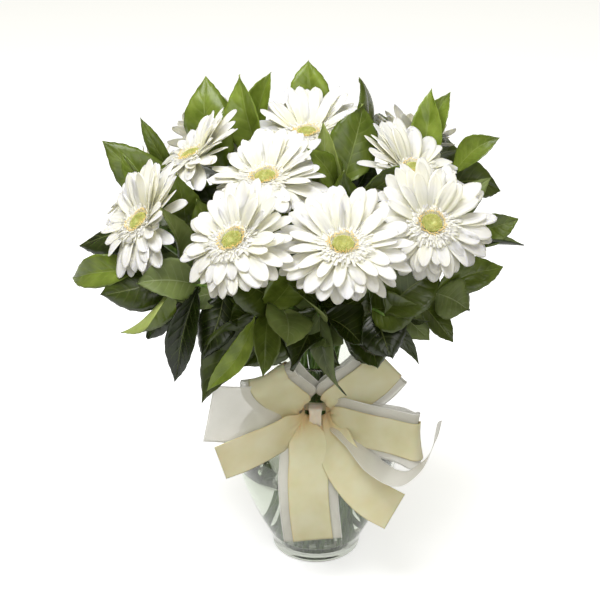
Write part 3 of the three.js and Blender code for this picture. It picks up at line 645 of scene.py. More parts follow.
# End of the leafy stem, pitch, ring and turn in the bundle; leaves: joint, tip, width, face
SPRAYS = [
    ((135, -8, 338), 15, "outer", 0, [
        (7, (181, -22, 357), 30, "front"), (5, (190, -15, 330), 30, "up"),
        (6, (160, 12, 388), 26, "front"), (5, (150, 25, 295), 44, "right"),
        (4, (120, -5, 265), 42, "right")]),
    ((128, 45, 378), 35, "outer", 24, [
        (7, (166, 35, 420), 28, "front"), (6, (178, 62, 360), 44, "right"),
        (5, (160, 70, 315), 44, "right"), (4, (120, 60, 270), 42, "right")]),
    ((100, 68, 385), 50, "outer", 43, [
        (7, (126, 76, 450), 26, "front"), (6, (106, 70, 455), 32, "front"),
        (6, (140, 120, 372), 44, "back"), (5, (115, 120, 318), 44, "back")]),
    ((48, 92, 400), 60, "outer", 72, [
        (7, (42, 72, 466), 42, "front"), (6, (70, 155, 405), 44, "back"),
        (5, (60, 145, 335), 46, "back"), (4, (45, 125, 280), 44, "back")]),
    ((-12, 120, 402), 65, "outer", 97, [
        (7, (-10, 120, 468), 44, "front"), (6, (-15, 180, 345), 46, "back"),
        (5, (5, 140, 290), 44, "back")]),
    ((-62, 108, 398), 60, "outer", 115, [
        (7, (-45, 108, 461), 26, "front"), (6, (-76, 92, 460), 40, "front"),
        (6, (-50, 165, 340), 46, "back"), (5, (-50, 140, 285), 44, "back")]),
    ((-102, 94, 387), 50, "outer", 131, [
        (6, (-123, 102, 454), 46, "front"), (7, (-98, 108, 444), 30, "front"),
        (6, (-150, 140, 330), 46, "back"), (5, (-110, 130, 290), 44, "back")]),
    ((-140, 80, 363), 40, "outer", 146, [
        (6, (-200, 50, 408), 42, "front"), (7, (-169, 76, 423), 16, "front"),
        (5, (-205, 95, 330), 46, "left"), (4, (-150, 80, 285), 44, "left")]),
    ((-150, 10, 340), 25, "outer", 176, [
        (7, (-182, 18, 408), 24, "front"), (6, (-228, 20, 318), 46, "left"),
        (5, (-190, 30, 280), 46, "left"), (6, (-128, -28, 404), 34, "front"),
        (4, (-140, 10, 250), 42, "left")]),
    ((-150, -50, 322), 15, "outer", 203, [
        (7, (-240, -26, 302), 32, "front"), (6, (-197, -55, 297), 42, "front"),
        (6, (-136, -72, 386), 24, "front"), (5, (-160, -60, 262), 44, "left"),
        (4, (-112, -22, 378), 44, "front")]),
    ((-128, -80, 318), 5, "outer", 219, [
        (7, (-174, -84, 270), 34, "under"), (6, (-128, -88, 226), 30, "front"),
        (5, (-105, -90, 252), 34, "front"), (6, (-158, -92, 326), 40, "front"),
        (4, (-92, -82, 262), 38, "front")]),
    ((-56, -96, 296), -5, "outer", 231, [
        (7, (-102, -108, 228), 20, "front"), (5, (-106, -92, 208), 46, "front"),
        (6, (-48, -114, 246), 26, "front"), (5, (-8, -124, 306), 44, "up"),
        (4, (-70, -80, 240), 44, "front"), (5, (-85, -102, 342), 46, "front"),
        (6, (-14, -96, 356), 44, "front")]),
    ((0, -104, 300), -5, "outer", 264, [
        (7, (36, -132, 284), 40, "up"), (6, (20, -112, 224), 44, "under"),
        (5, (-25, -100, 245), 44, "front"), (5, (-34, -112, 340), 46, "front"),
        (4, (15, -80, 238), 40, "front"), (6, (42, -112, 338), 46, "front"),
        (4, (-16, -66, 352), 44, "up")]),
    ((58, -92, 295), 0, "outer", 296, [
        (7, (106, -82, 332), 44, "front"), (6, (88, -100, 306), 44, "front"),
        (5, (92, -84, 244), 16, "front"), (6, (62, -112, 264), 44, "front"),
        (4, (52, -88, 240), 42, "front"), (4, (74, -92, 338), 46, "front")]),
    ((105, -55, 300), 5, "outer", 322, [
        (6, (122, -64, 254), 28, "up"), (7, (168, -46, 320), 36, "front"),
        (5, (100, -70, 262), 34, "front"), (4, (98, -30, 250), 40, "right"),
        (7, (135, -72, 290), 40, "front")]),
    ((22, -8, 385), 80, "inner", 0, [
        (7, (42, 18, 455), 44, "front"), (6, (6, -12, 446), 28, "front"),
        (6, (-12, -42, 426), 40, "front"), (5, (20, -48, 410), 34, "front"),
        (6, (78, -28, 412), 40, "front"), (5, (-42, -94, 390), 30, "front"),
        (4, (-40, 20, 380), 44, "up"), (3, (-50, -40, 335), 44, "up"),
        (4, (72, -30, 372), 44, "front"), (3, (-20, -62, 330), 44, "front")])]
# Leaves whose share of the brighter greens is listed, for their youth and for painted light and
# shade, and a leaf that turned about its midrib as it opened, in degrees; both by spray and leaf,
# counted from 0
YOUTH_AND_LIGHT = {(9, 0): 0.7, (9, 1): 0.2, (10, 0): 0.95, (10, 3): 0.15, (11, 0): 0.95, (11, 1): 0.2,
         (12, 2): 0.1, (13, 0): 0.3, (13, 4): 0.15, (14, 1): 0.55}
ROLLED = {(1, 0): -50}
print("sprays", len(SPRAYS), "leaves", sum(len(spray[-1]) for spray in SPRAYS))

# %% [markdown]
# Leaves that would cross were bent apart in the CAD, in steps that are listed here. To follow them,
# every bent version of a leaf is tried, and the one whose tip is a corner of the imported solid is
# the one that was built.

# %% Bent versions of a leaf
LEAF_TURNS = [0, 8, 16, 24, 34, 46]
LEAF_WAYS = [(1, 0), (-1, 0), (0, 1), (0, -1), (0.7, 0.7), (-0.7, 0.7), (0.7, -0.7), (-0.7, -0.7)]
LEAF_ROLLS = [0, 25, -25, 55]
LEAF_SHRINKS = [1, 0.86, 0.72, 0.6]
LEAF_TRIES = [(swing * turn, lift * turn, roll, shrink)
              for shrink in LEAF_SHRINKS for turn in LEAF_TURNS
              for swing, lift in (LEAF_WAYS if turn else [(0, 0)]) for roll in LEAF_ROLLS]
LEAF_THICK = 0.7  # of the solid


def leaf_frame(root, tip, face, tried):
    """Spine and upward normal of a leaf after it was bent clear of its neighbours."""
    swing, lift, roll, shrink = tried
    spine = tip - root
    normal = (face - spine * (face.dot(spine) / spine.length_squared)).normalized()
    across = normal.cross(spine).normalized()
    spine = turned_about(spine, normal, swing)
    spine = turned_about(spine, across, lift) * shrink
    ahead = spine.normalized()
    normal = (normal - ahead * normal.dot(ahead)).normalized()
    return spine, turned_about(normal, ahead, roll)


def find_leaf(root, tip, face, points):
    """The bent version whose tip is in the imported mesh."""
    best = (1e9, (0, 0, 0, 1))
    for tried in LEAF_TRIES:
        spine, normal = leaf_frame(root, tip, face, tried)
        end = root + spine
        miss = max(points.find(end + normal * side * LEAF_THICK / 2)[2] for side in (1, -1))
        if miss < best[0]:
            best = (miss, tried)
        if miss < 0.01:
            break
    return best


print("versions of a leaf", len(LEAF_TRIES))

# %% [markdown]
# The outline is that of a broad pointed leaf: short stalk, widest near the middle and drawn out to
# a slender tip. A leaf springs from its joint, arches towards its tip and is folded a little along
# the midrib. The blade is quilted between the side veins, the margin waves, many tips droop, and
# some leaves have turned over and show their underside. All this could be sculpted leaf by leaf;
# one function with small draws gives each of them its own form.

# %% One leaf
LEAF_WIDTHS = [(0.0, 0.05), (0.05, 0.12), (0.14, 0.56), (0.26, 0.88), (0.4, 1.04), (0.55, 1.06),
               (0.68, 0.92), (0.8, 0.67), (0.88, 0.42), (0.935, 0.21), (0.97, 0.1), (1.0, 0.0)]
QUILT, RIB, RIB_SHARPNESS = 0.2, 0.5, 9  # swelling between veins and groove of the midrib


def add_leaf(bm, root, tip, width, face, tried, seed, across_cuts=12, along_cuts=30):
    spine, normal = leaf_frame(root, tip, face, tried)
    ahead = spine.normalized()
    side = normal.cross(ahead)
    length = spine.length
    middle = root + spine * 0.5 + normal * length * (0.12 + 0.05 * draw(seed, 1))
    end = root + spine
    width *= tried[3]
    wave, fold = 0.04 * width * (1.2 + draw(seed, 11)), 24 + 22 * draw(seed, 12)
    sway, droop = 0.1 * length * draw(seed, 13), 0.35 * length * (0.6 + draw(seed, 14))
    hook = 0.9 * length * draw(seed, 18)
    way = -1 if draw(seed, 23) > 0.45 else 1  # some leaves show their underside
    twist, curl = 60 * draw(seed, 16), 1.1 * draw(seed, 17)

    def place(u, share):
        at = root * (1 - share) ** 2 + middle * 2 * share * (1 - share) + end * share * share
        aside = sway * math.sin(share * math.pi) + hook * max(share - 0.8, 0) ** 2
        at = at + side * aside - normal * droop * max(share - 0.55, 0) ** 2
        edge = way * (1 - 2 * u)
        out = width / 2 * along_table(LEAF_WIDTHS, share) * abs(edge)
        open_up = math.radians(fold * (1 - 0.5 * share))
        rise = out * math.sin(open_up) + curl * out * abs(edge) ** 2 * 0.5
        rise += wave * abs(edge) ** 3 * math.sin(share * 9 + 2.2 * math.copysign(1, edge) + seed)
        vein = math.cos(2 * math.pi * VEIN_PAIRS * (share - VEIN_SLANT / 2 * abs(edge)))
        quilt = QUILT * vein * (1 - edge * edge) * abs(edge)
        rib = -RIB * math.exp(-(edge * RIB_SHARPNESS) ** 2)
        off = side * math.copysign(out * math.cos(open_up), edge) + normal * (rise - quilt + rib)
        return at + turned_about(off, ahead, twist * (share - 0.25))

    return new_grid(bm, across_cuts, along_cuts, place)


print("points in the outline of a leaf", len(LEAF_WIDTHS))

# %% [markdown]
# Low on each stem stand a few small shaded leaves, which the CAD leaves out. They close the gaps
# through which the table would shine. As on a real stem, each is turned by 137.5 degrees from the
# one below it, so that it gets its own light.

# %% Inner leaves
FILLER_JOINTS = (2.6, 3.4, 4.2, 5.0)
LEAF_SPIRAL = 137.5
GAP_LEAVES = {6: (5, (-125, 2, 374), 46, "front")}  # spray number from 0: one more inner leaf
AS_DRAWN = (0, 0, 0, 1)  # neither bent nor shrunk
# The inner leaves take mostly the darker greens: they are older, and this is painted shade as well.
INNER_YOUTH_AND_LIGHT, GAP_YOUTH_AND_LIGHT = 0.1, 0.15


def add_inner_leaves(bm, n, point):
    for k, joint in enumerate(FILLER_JOINTS):
        root, seed = point(joint / JOINTS), 50 * n + 31 + k
        ahead = (point(joint / JOINTS + 0.05) - root).normalized()
        aside = turned_about(ahead.orthogonal().normalized(), ahead, LEAF_SPIRAL * k + 60 * n)
        tip = root + (ahead * 0.75 + aside * 0.66) * (50 + 8 * draw(seed, 1))
        add_leaf(bm, root, tip, 30 + 5 * draw(seed, 2), aside - ahead * 0.4, AS_DRAWN, seed, 6, 14)


print("inner leaves", len(FILLER_JOINTS) * len(SPRAYS) + len(GAP_LEAVES))

# %% [markdown]
# Leaves high in the bunch are younger and are lit from above, so the height of a leaf's tip sets how
# bright its greens are: partly youth, partly painted light. The material reads this from an
# attribute, a number that is stored with each face.

# %% Put the sprays together
LEAF_WALL, SPRAY_STEM_R, SPRAY_REACH = 0.45, 1.6, 55
OLD_AND_SHADED_BELOW, YOUNG_AND_LIT_ABOVE = 300, 450  # heights of a leaf's tip


def paint(piece, name, values):
    """A number per face, for a material to read."""
    layer = piece.data.attributes.new(name, "FLOAT", "FACE")
    layer.data.foreach_set("value", values)


blade_points, blade_faces = [], []
for n, (end, pitch, ring, turn, leaves) in enumerate(SPRAYS):
    number = f"{n + 1:02d}"
    end, slope = Vector(end), math.radians(pitch)
    heading = Vector((end.x, end.y, 0)).normalized() * math.cos(slope)
    heading += Vector((0, 0, math.sin(slope)))
    foot, point = stem_curve(ring, turn, end, heading, SPRAY_REACH)
    points = mesh_points(f"foliage_{number}")
    twig = new_bmesh()
    new_tube(twig, stem_points(foot, point), lambda share: SPRAY_STEM_R * (1.05 - 0.3 * share))
    finish_piece(f"foliage_{number}_twig", twig, [], [stem_skin])
    blades = new_bmesh()
    youth_and_light, worst = [], 0
    for k, (joint, tip, width, face) in enumerate(leaves):
        root, tip, seed = point(joint / JOINTS), Vector(tip), 50 * n + 7 + k
        miss, (swing, lift, roll, shrink) = find_leaf(root, tip, Vector(FACES[face]), points)
        worst = max(worst, miss)
        tried = (swing, lift, roll + ROLLED.get((n, k), 0), shrink)
        add_leaf(blades, root, tip, width, Vector(FACES[face]), tried, seed)
        high = min(max((tip.z - OLD_AND_SHADED_BELOW) / (YOUNG_AND_LIT_ABOVE - OLD_AND_SHADED_BELOW), 0), 1)
        # Painted light: the higher the tip, the brighter the greens, besides the leaf's youth.
        bright = YOUTH_AND_LIGHT.get((n, k), 0.1 + 0.72 * high + 0.4 * draw(seed, 21))
        youth_and_light += [min(max(bright, 0), 1)] * (len(blades.faces) - len(youth_and_light))
    add_inner_leaves(blades, n, point)
    youth_and_light += [INNER_YOUTH_AND_LIGHT] * (len(blades.faces) - len(youth_and_light))
    if n in GAP_LEAVES:
        joint, tip, width, face = GAP_LEAVES[n]
        add_leaf(blades, point(joint / JOINTS), Vector(tip), width, Vector(FACES[face]),
                 AS_DRAWN, 50 * n + 41, 8, 16)
        youth_and_light += [GAP_YOUTH_AND_LIGHT] * (len(blades.faces) - len(youth_and_light))
    piece = finish_piece(f"foliage_{number}_leaves", blades, [f"foliage_{number}"],
                         [leaf_top, leaf_underside], LEAF_WALL, False)
    paint(piece, "young_and_lit", youth_and_light)
    first = len(blade_points)
    blade_points += [vert.co.copy() for vert in piece.data.vertices]
    blade_faces += [[first + i for i in polygon.vertices] for polygon in piece.data.polygons]
    print("foliage", number, "leaves", len(leaves), "worst miss", round(worst, 3))
leaf_tree = BVHTree.FromPolygons(blade_points, blade_faces)
print("leaf faces to keep clear of", len(blade_faces))

# %% [markdown]
# ## Gerberas
# A gerbera is a shallow cup of long ray petals round a fringe, a ring of stamens and a disc, on a
# bare stem. Each head looks its own way. It could be made once and copied, but then all twelve
# would match. Here each is built in a frame of its own, whose Z points out of the flower.

# %% Heads
# Middle, facing, ring and turn in the bundle
HEADS = [
    ((-160, -35, 360), (-0.59, -0.3, 0.75), "middle", 191),
    ((-117, 30, 401), (-0.39, -0.03, 0.92), "inner", 180),
    ((-47, -40, 403), (-0.12, -0.22, 0.97), "inner", 270),
    ((-10, 60, 413), (-0.03, -0.12, 0.99), "inner", 90),
    ((-72, -125, 377), (-0.4, -0.4, 0.82), "middle", 249),
    ((19, -140, 379), (0, -0.38, 0.92), "middle", 278),
    ((97, -80, 375), (0.13, -0.58, 0.8), "middle", 332),
    ((88, 3, 396), (0.22, -0.15, 0.96), "middle", 0),
    ((98, 108, 386), (0.34, 0.4, 0.85), "middle", 58),
    ((-172, 72, 350), (-0.64, 0.26, 0.72), "middle", 161),
    ((-95, 120, 380), (-0.4, 0.66, 0.64), "middle", 122),
    ((4, 147, 378), (0.08, 0.75, 0.66), "middle", 89)]


def head_frame(at, facing):
    out = Vector(facing).normalized()
    side = Vector((0, 0, 1)).cross(out).normalized()
    over = out.cross(side)
    return Matrix((side, over, out)).transposed(), Vector(at)


print("heads", len(HEADS))

# %% [markdown]
# The CAD petals say how each part of a layer had to bend to pass its neighbours: the script looks
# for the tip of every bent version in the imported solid, as it does for the leaves. The finer petals
# take the bend between the two nearest ones of their layer.

# %% Sizes of the CAD petals
PETAL = {"root": 9, "root_z": -2.2, "length": 43, "tip": 9, "thick": 0.8, "cup": 5, "lean": 19}
CAD_LAYERS = [{"count": 9, "rise": 0, "bend": 12, "drop": 0, "scale": 1},
              {"count": 6, "rise": 14, "bend": 10, "drop": 1.2, "scale": 0.92}]
PETAL_TURNS = [0, 9, -9, 18, -18, 27, -27, 36]
PETAL_SHRINKS = [1, 0.85, 0.7]


def cupped(around):
    """Degrees by which a petal rises: more for the uphill petals of the shallow cup."""
    return PETAL["cup"] + PETAL["lean"] * math.sin(around)


def petal_line(around, rise, bend, length, root_z, share):
    """Point, upward normal and direction on the middle line of a petal that bends down by bend."""
    slope = rise - bend * share
    reach = length * (math.sin(rise) - math.sin(slope)) / bend
    lift = length * (math.cos(slope) - math.cos(rise)) / bend
    out = Vector((math.cos(around), math.sin(around), 0))
    up = Vector((0, 0, 1))
    at = out * (PETAL["root"] + reach) + up * (root_z + lift)
    normal = out * -math.sin(slope) + up * math.cos(slope)
    return at, normal, out * math.cos(slope) + up * math.sin(slope)


print("CAD petals of a head", sum(layer["count"] for layer in CAD_LAYERS))


# %% How each CAD petal was bent
def cad_petals(n, turn_matrix, middle, points):
    """For each CAD petal of a head: layer, angle round the head, bend and shrink it was given."""
    found, seed = [], 10 * n + 3
    for which, layer in enumerate(CAD_LAYERS):
        for k in range(layer["count"]):
            around = (k + draw(seed, k) * 0.12 + layer["drop"] * 0.4) / layer["count"] * 2 * math.pi
            roll = 9 * draw(seed, k + 120)
            best = None
            for shrink in PETAL_SHRINKS:
                for turn in PETAL_TURNS:
                    rise = layer["rise"] + cupped(around) + 3 * draw(seed, k + 40) + turn
                    length = PETAL["length"] * layer["scale"] * shrink
                    length *= 1 + 0.07 * draw(seed, k + 80)
                    at, normal, ahead = petal_line(around, math.radians(rise),
                                                   math.radians(layer["bend"]), length,
                                                   PETAL["root_z"] + layer["drop"], 1)
                    across = turned_about(normal.cross(ahead), ahead, roll)
                    corner = across * PETAL["tip"] / 2 + ahead.cross(across) * PETAL["thick"] / 2
                    miss = points.find(turn_matrix @ (at + corner) + middle)[2]
                    if miss < 0.05 and (best is None or miss < best[0]):
                        best = (miss, turn, shrink)
            if best:
                found.append((which, around % (2 * math.pi), best[1], best[2]))
            seed += 0.37
    return found


def nearest_bend(found, which, around):
    """Bend and shrink between the two CAD petals of the layer nearest to an angle."""
    near = []
    for layer, angle, turn, shrink in found:
        if layer == which:
            apart = abs((angle - around + math.pi) % (2 * math.pi) - math.pi)
            near.append((apart, turn, shrink))
    near.sort()
    if len(near) < 2:
        return (near[0][1], near[0][2]) if near else (0, 1)
    (a, turn_a, shrink_a), (b, turn_b, shrink_b) = near[:2]
    share = a / max(a + b, 1e-6)
    return turn_a + (turn_b - turn_a) * share, shrink_a + (shrink_b - shrink_a) * share


print("bent versions of a petal", len(PETAL_TURNS) * len(PETAL_SHRINKS))

# %% [markdown]
# A ray petal is narrow at its root, widest at three quarters and rounded at the tip with a shallow
# notch. It is a little channelled along its length and its edges wave. The petals stand in three
# layers, each shorter and steeper than the one under it. Those on the side that hangs down arch
# over and look shorter, and those on the upper side stand up.

# %% Layers of petals
RAY_WIDTHS = [(0.0, 0.36), (0.2, 0.62), (0.4, 0.88), (0.58, 1.0), (0.7, 0.99)]
# CAD layer that it follows, petals, length, width, rise, bend and height above the root
RAY_LAYERS = [
    {"follows": 0, "count": 21, "length": 49.5, "width": 14.6, "rise": -8, "bend": 15,
     "drop": -1.2},
    {"follows": 0, "count": 20, "length": 48.0, "width": 14.2, "rise": 2, "bend": 14, "drop": 0.1},
    {"follows": 1, "count": 16, "length": 38.0, "width": 12.0, "rise": 12, "bend": 13, "drop": 1.3}]
FRONT_ARCH = 11  # degrees that a downhill petal rises at first, and then falls twice over
REAR_LIFT = 17  # degrees that an uphill petal stands above the CAD one
FRONT_SHORT = 0.19  # share by which a downhill petal is shorter than a side one
RAY_CUTS = (6, 10)  # across and along: few faces, because there are hundreds of petals
HEAD_SIZE = {0: 1.07, 3: 1.1, 7: 1.08, 8: 0.82}  # blooms that are larger or smaller than the rest
TIP_FROM = 0.7  # where the side of a petal turns into its rounded tip


def arched(around):
    return FRONT_ARCH * max(0.25 - math.sin(around), 0)


def lifted(around):
    return REAR_LIFT * max(math.sin(around), 0)


def ray_width(share):
    if share <= TIP_FROM:
        return along_table(RAY_WIDTHS, share)
    return 0.98 * max(1 - ((share - TIP_FROM) / (1 - TIP_FROM)) ** 2.2, 0.0) ** 0.6


print("petals of a head", sum(layer["count"] for layer in RAY_LAYERS))

# %% [markdown]
# Where a real petal meets a leaf, it bends or stays short. A rough copy of each petal is tested
# against all the leaves, and rises and lengths are tried in turn until it runs through none of
# them, or else the version that runs through the fewest faces is kept.

# %% Petals give way to leaves
# Degrees that it rises more, and share of its length
RAY_TRIES = [(0, 1), (7, 1), (-7, 1), (14, 1), (-14, 1), (0, 0.86), (12, 0.86), (-12, 0.86),
             (22, 0.8), (-22, 0.8), (0, 0.66), (16, 0.66)]


def crosses_leaf(place):
    """How many faces of a rough copy of a petal run through a leaf."""
    points = [place(i / 4, j / 8) * MM for j in range(9) for i in range(5)]
    quads = [(a, a + 1, a + 6, a + 5) for a in (5 * j + i for j in range(8) for i in range(4))]
    return len(BVHTree.FromPolygons(points, quads).overlap(leaf_tree))


print("ways round a leaf", len(RAY_TRIES))


# %% One petal
def add_ray(bm, place_head, layer, seed, k, found, size):
    around = (k + 0.34 * draw(seed, 1) + 0.5 * layer["drop"]) / layer["count"] * 2 * math.pi
    turn, shrink = nearest_bend(found, layer["follows"], around)
    arch = arched(around)
    risen = layer["rise"] + cupped(around) + arch + lifted(around) + 5 * draw(seed, 2) + turn
    bend = math.radians(layer["bend"] + 2 * arch + 7 * draw(seed, 3))
    full = layer["length"] * shrink * (1 + 0.1 * draw(seed, 4)) * size
    full *= 1 - FRONT_SHORT * max(-math.sin(around), 0)
    width = layer["width"] * (1 + 0.15 * draw(seed, 5))
    roll, channel = 15 * draw(seed, 6), 0.9 + 0.7 * draw(seed, 7)
    tip_lift, wave, sway = 2.0 * draw(seed, 8), draw(seed, 9), 3.2 * draw(seed, 10)
    scallop = 0.5 + 0.5 * draw(seed, 11)

    def place(u, v):
        share = 1 - (1 - v) ** 1.5
        at, normal, ahead = petal_line(around, rise, bend, length,
                                       PETAL["root_z"] + layer["drop"], share)
        across = turned_about(normal.cross(ahead), ahead, roll * share)
        normal = ahead.cross(across)
        edge = 1 - 2 * u
        half = width / 2 * ray_width(share)
        cup = channel * (edge * edge - 0.3) * (1.15 - share) * 1.9 * half / 7
        fold = 0.3 * math.cos(edge * 3 * math.pi) * share
        flutter = 0.8 * wave * edge * math.sin(share * 7 + seed) * share
        curl = tip_lift * max(share - TIP_FROM, 0) ** 2 * 9
        notch = -scallop * (1 - math.cos(edge * 2 * math.pi)) * max(share - 0.88, 0) * 6
        point = at + across * (edge * half + sway * share * share)
        point += normal * (cup + fold + flutter + curl)
        point += ahead * notch
        return place_head(point)

    fewest = None
    for more, shorter in RAY_TRIES:
        rise, length = math.radians(risen + more), full * shorter
        crossings = crosses_leaf(place)
        if fewest is None or crossings < fewest[0]:
            fewest = (crossings, rise, length)
        if not crossings:
            break
    _, rise, length = fewest
    return new_grid(bm, RAY_CUTS[0], RAY_CUTS[1], place)


print("grid of a petal", RAY_CUTS)

# %% [markdown]
# Between the long petals and the disc stands a broad soft collar of short narrow florets, four
# rings of them, steeper towards the middle. Strips alone would show gaps down to the petals, so a
# low rippled bed lies under them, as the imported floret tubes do.

# %% Fringe
# Florets, root, length and rise of each ring
FRINGE_RINGS = [(60, 14.5, 10.5, 14), (58, 13.4, 8.5, 20), (52, 12.0, 6.2, 30), (46, 10.9, 4.4, 44)]
COLLAR = {"root": 8.6, "end": 19, "low": 1.7, "rise": -3}
RIPPLES = 34
BED_CUTS = (4 * RIPPLES, 5)  # round and outwards


def collar_lift(around):
    return cupped(around) + arched(around) + 0.8 * lifted(around)


def add_fringe(bm, place_head, seed):
    """Rings of short narrow florets, each split in two at its tip, on a bed of packed tubes."""
    def place_bed(u, v):
        around = 2 * math.pi * u
        lift = math.radians(COLLAR["rise"] + collar_lift(around))
        out = Vector((math.cos(around), math.sin(around), 0))
        reach = (COLLAR["end"] - COLLAR["root"]) * v
        ripple = 0.35 * math.sin(RIPPLES * around + 5 * v)
        height = COLLAR["low"] + reach * math.sin(lift) - 1.2 * v + ripple
        return place_head(out * (COLLAR["root"] + reach * math.cos(lift)) + Vector((0, 0, height)))

    new_grid(bm, BED_CUTS[0], BED_CUTS[1], place_bed)
    for ring, (count, root, length, rise) in enumerate(FRINGE_RINGS):
        for k in range(count):
            mark = seed + 7 * ring + 0.31 * k
            around = (k + 0.4 * draw(mark, 1)) / count * 2 * math.pi
            lift = math.radians(rise + 6 * draw(mark, 2) + collar_lift(around))
            long, width = length * (1 + 0.25 * draw(mark, 3)), 1.9 + 0.4 * draw(mark, 4)
            curl = draw(mark, 5)
            out = Vector((math.cos(around), math.sin(around), 0))
            side = Vector((-out.y, out.x, 0))

            def place(u, v):
                slope = lift - 0.5 * v * (0.6 + 0.4 * curl)
                at = out * (root + long * v * math.cos(slope))
                at += Vector((0, 0, 2.5 + long * v * math.sin(slope)))
                at += side * ((u - 0.5) * width * (0.8 + 0.4 * v) + 1.0 * curl * v * v)
                split = abs(u - 0.5)
                return place_head(at + Vector((0, 0, 0.4 * split)) + out * 1.4 * split * v)

            new_grid(bm, 2, 3, place)


print("florets of a fringe", sum(ring[0] for ring in FRINGE_RINGS))

# %% [markdown]
# The stamens are cream threads that carry golden pollen at their tips, in loose clumps. Each is a
# thin rod that swells near its end. Five sides are enough, since they are half a millimetre thick.

# %% Stamens
STAMENS = 92
THREAD_R, POLLEN_R, TIP_R = 0.26, 0.62, 0.4


def stamen_radius(share):
    return THREAD_R if share < 0.7 else POLLEN_R if share < 0.95 else TIP_R


def add_stamens(bm, place_head, seed):
    """Cream threads with golden heads, in loose clumps round the disc."""
    for k in range(STAMENS):
        mark = seed + 0.53 * k
        around = (k + 0.45 * draw(mark, 1)) / STAMENS * 2 * math.pi
        root, lean = 8.7 + 2.0 * abs(draw(mark, 2)), 0.25 + 0.3 * draw(mark, 3)
        high = 3.9 + 1.0 * math.sin(3 * around + seed) + 1.0 * draw(mark, 4)
        out = Vector((math.cos(around), math.sin(around), 0))
        points = [place_head(out * (root + lean * high * t + 1.2 * t * t)
                             + Vector((0, 0, 1.8 + high * t))) for t in (0, 0.5, 0.8, 0.9, 1)]
        new_tube(bm, points, stamen_radius, 5)


print("stamens of a head", STAMENS)

# %% [markdown]
# The disc is a low cushion with a raised ring and a dimple in the middle, covered with closed buds.
# Rows of buds would look knitted. In a real flower each bud is turned by 137.5 degrees from the
# last and stands a little further out, which fills the disc evenly with no rows.

# %% Disc
DISC_R, BUDS, BUD_SPIRAL = 8.9, 150, 137.508
CUSHION_UNDERSIDE, CUSHION_RIM = 2.2, 3.0
BUD_SIZE, BUD_GROWTH = 0.36, 0.045  # in the middle, and more for each millimetre outwards
OUTER_BUDS_FROM, OUTER_BUD, INNER_BUD = 6.5, 1.5, 0.9  # buds near the rim are taller than wide


def disc_height(r):
    return 3.6 + 2.0 * math.exp(-((r - 5.4) / 2.7) ** 2) - 1.1 * math.exp(-(r / 1.8) ** 2)


def add_disc(bm, place_head):
    cushion = bmesh.ops.create_uvsphere(bm, u_segments=20, v_segments=10, radius=1)["verts"]
    for vert in cushion:
        flat = Vector((vert.co.x, vert.co.y, 0))
        r = flat.length * DISC_R
        level = disc_height(r) - 0.3 if vert.co.z >= 0 else CUSHION_UNDERSIDE
        if flat.length > 0.98:
            level = CUSHION_RIM
        vert.co = place_head(flat * DISC_R + Vector((0, 0, level))) * MM
    for k in range(BUDS):
        r = DISC_R * math.sqrt((k + 0.5) / BUDS)
        around = math.radians(BUD_SPIRAL * k)
        size = BUD_SIZE + BUD_GROWTH * r
        tall = OUTER_BUD if r > OUTER_BUDS_FROM else INNER_BUD
        at = Vector((r * math.cos(around), r * math.sin(around), disc_height(r)))
        for vert in bmesh.ops.create_icosphere(bm, subdivisions=1, radius=1)["verts"]:
            x, y, z = vert.co
            vert.co = place_head(at + Vector((x * size, y * size, z * size * tall))) * MM


print("buds of a disc", BUDS)

# %% [markdown]
# Under the head a green cup holds the petals: two rings of narrow bracts that overlap like tiles.
# It is hardly seen from above, so a plain cone would nearly do, but from the side the free bract
# tips show between the petals.

# %% Calyx
# Bracts, height of their root and rise of each ring
BRACT_RINGS = [(14, -12.5, 62), (16, -9.5, 38)]
BRACT_LENGTH, BRACT_WIDTH = 9.5, 2.9
BRACT_ROOT, RING_GAP = 2.6, 1.2  # of the first ring from the axis, and between the rings
BRACT_BEND = 22  # degrees that a bract turns outwards along its length


def add_calyx(bm, place_head):
    for ring, (count, low, rise) in enumerate(BRACT_RINGS):
        for k in range(count):
            around = (k + 0.5 * ring) / count * 2 * math.pi
            out = Vector((math.cos(around), math.sin(around), 0))
            side = Vector((-out.y, out.x, 0))

            def place(u, v):
                slope = math.radians(rise - BRACT_BEND * v)
                at = out * (BRACT_ROOT + RING_GAP * ring + BRACT_LENGTH * v * math.cos(slope))
                at += Vector((0, 0, low + BRACT_LENGTH * v * math.sin(slope)))
                at += side * (u - 0.5) * BRACT_WIDTH * (1 - v ** 3) * (0.7 + v * 0.6)
                return place_head(at)

            new_grid(bm, 2, 4, place)


print("bracts of a head", sum(ring[0] for ring in BRACT_RINGS))

# %% [markdown]
# Each head becomes six pieces, one to a material and kind: petals, fringe, disc, stamens, stalk and
# calyx. The petals, the disc and the stalk each stand for one CAD node.

# %% Put the gerberas together
STEM_END, FLOWER_STEM_R, FLOWER_REACH = -14.0, 2.7, 70
RAY_WALL, FLORET_WALL, BRACT_WALL = 0.35, 0.2, 0.5

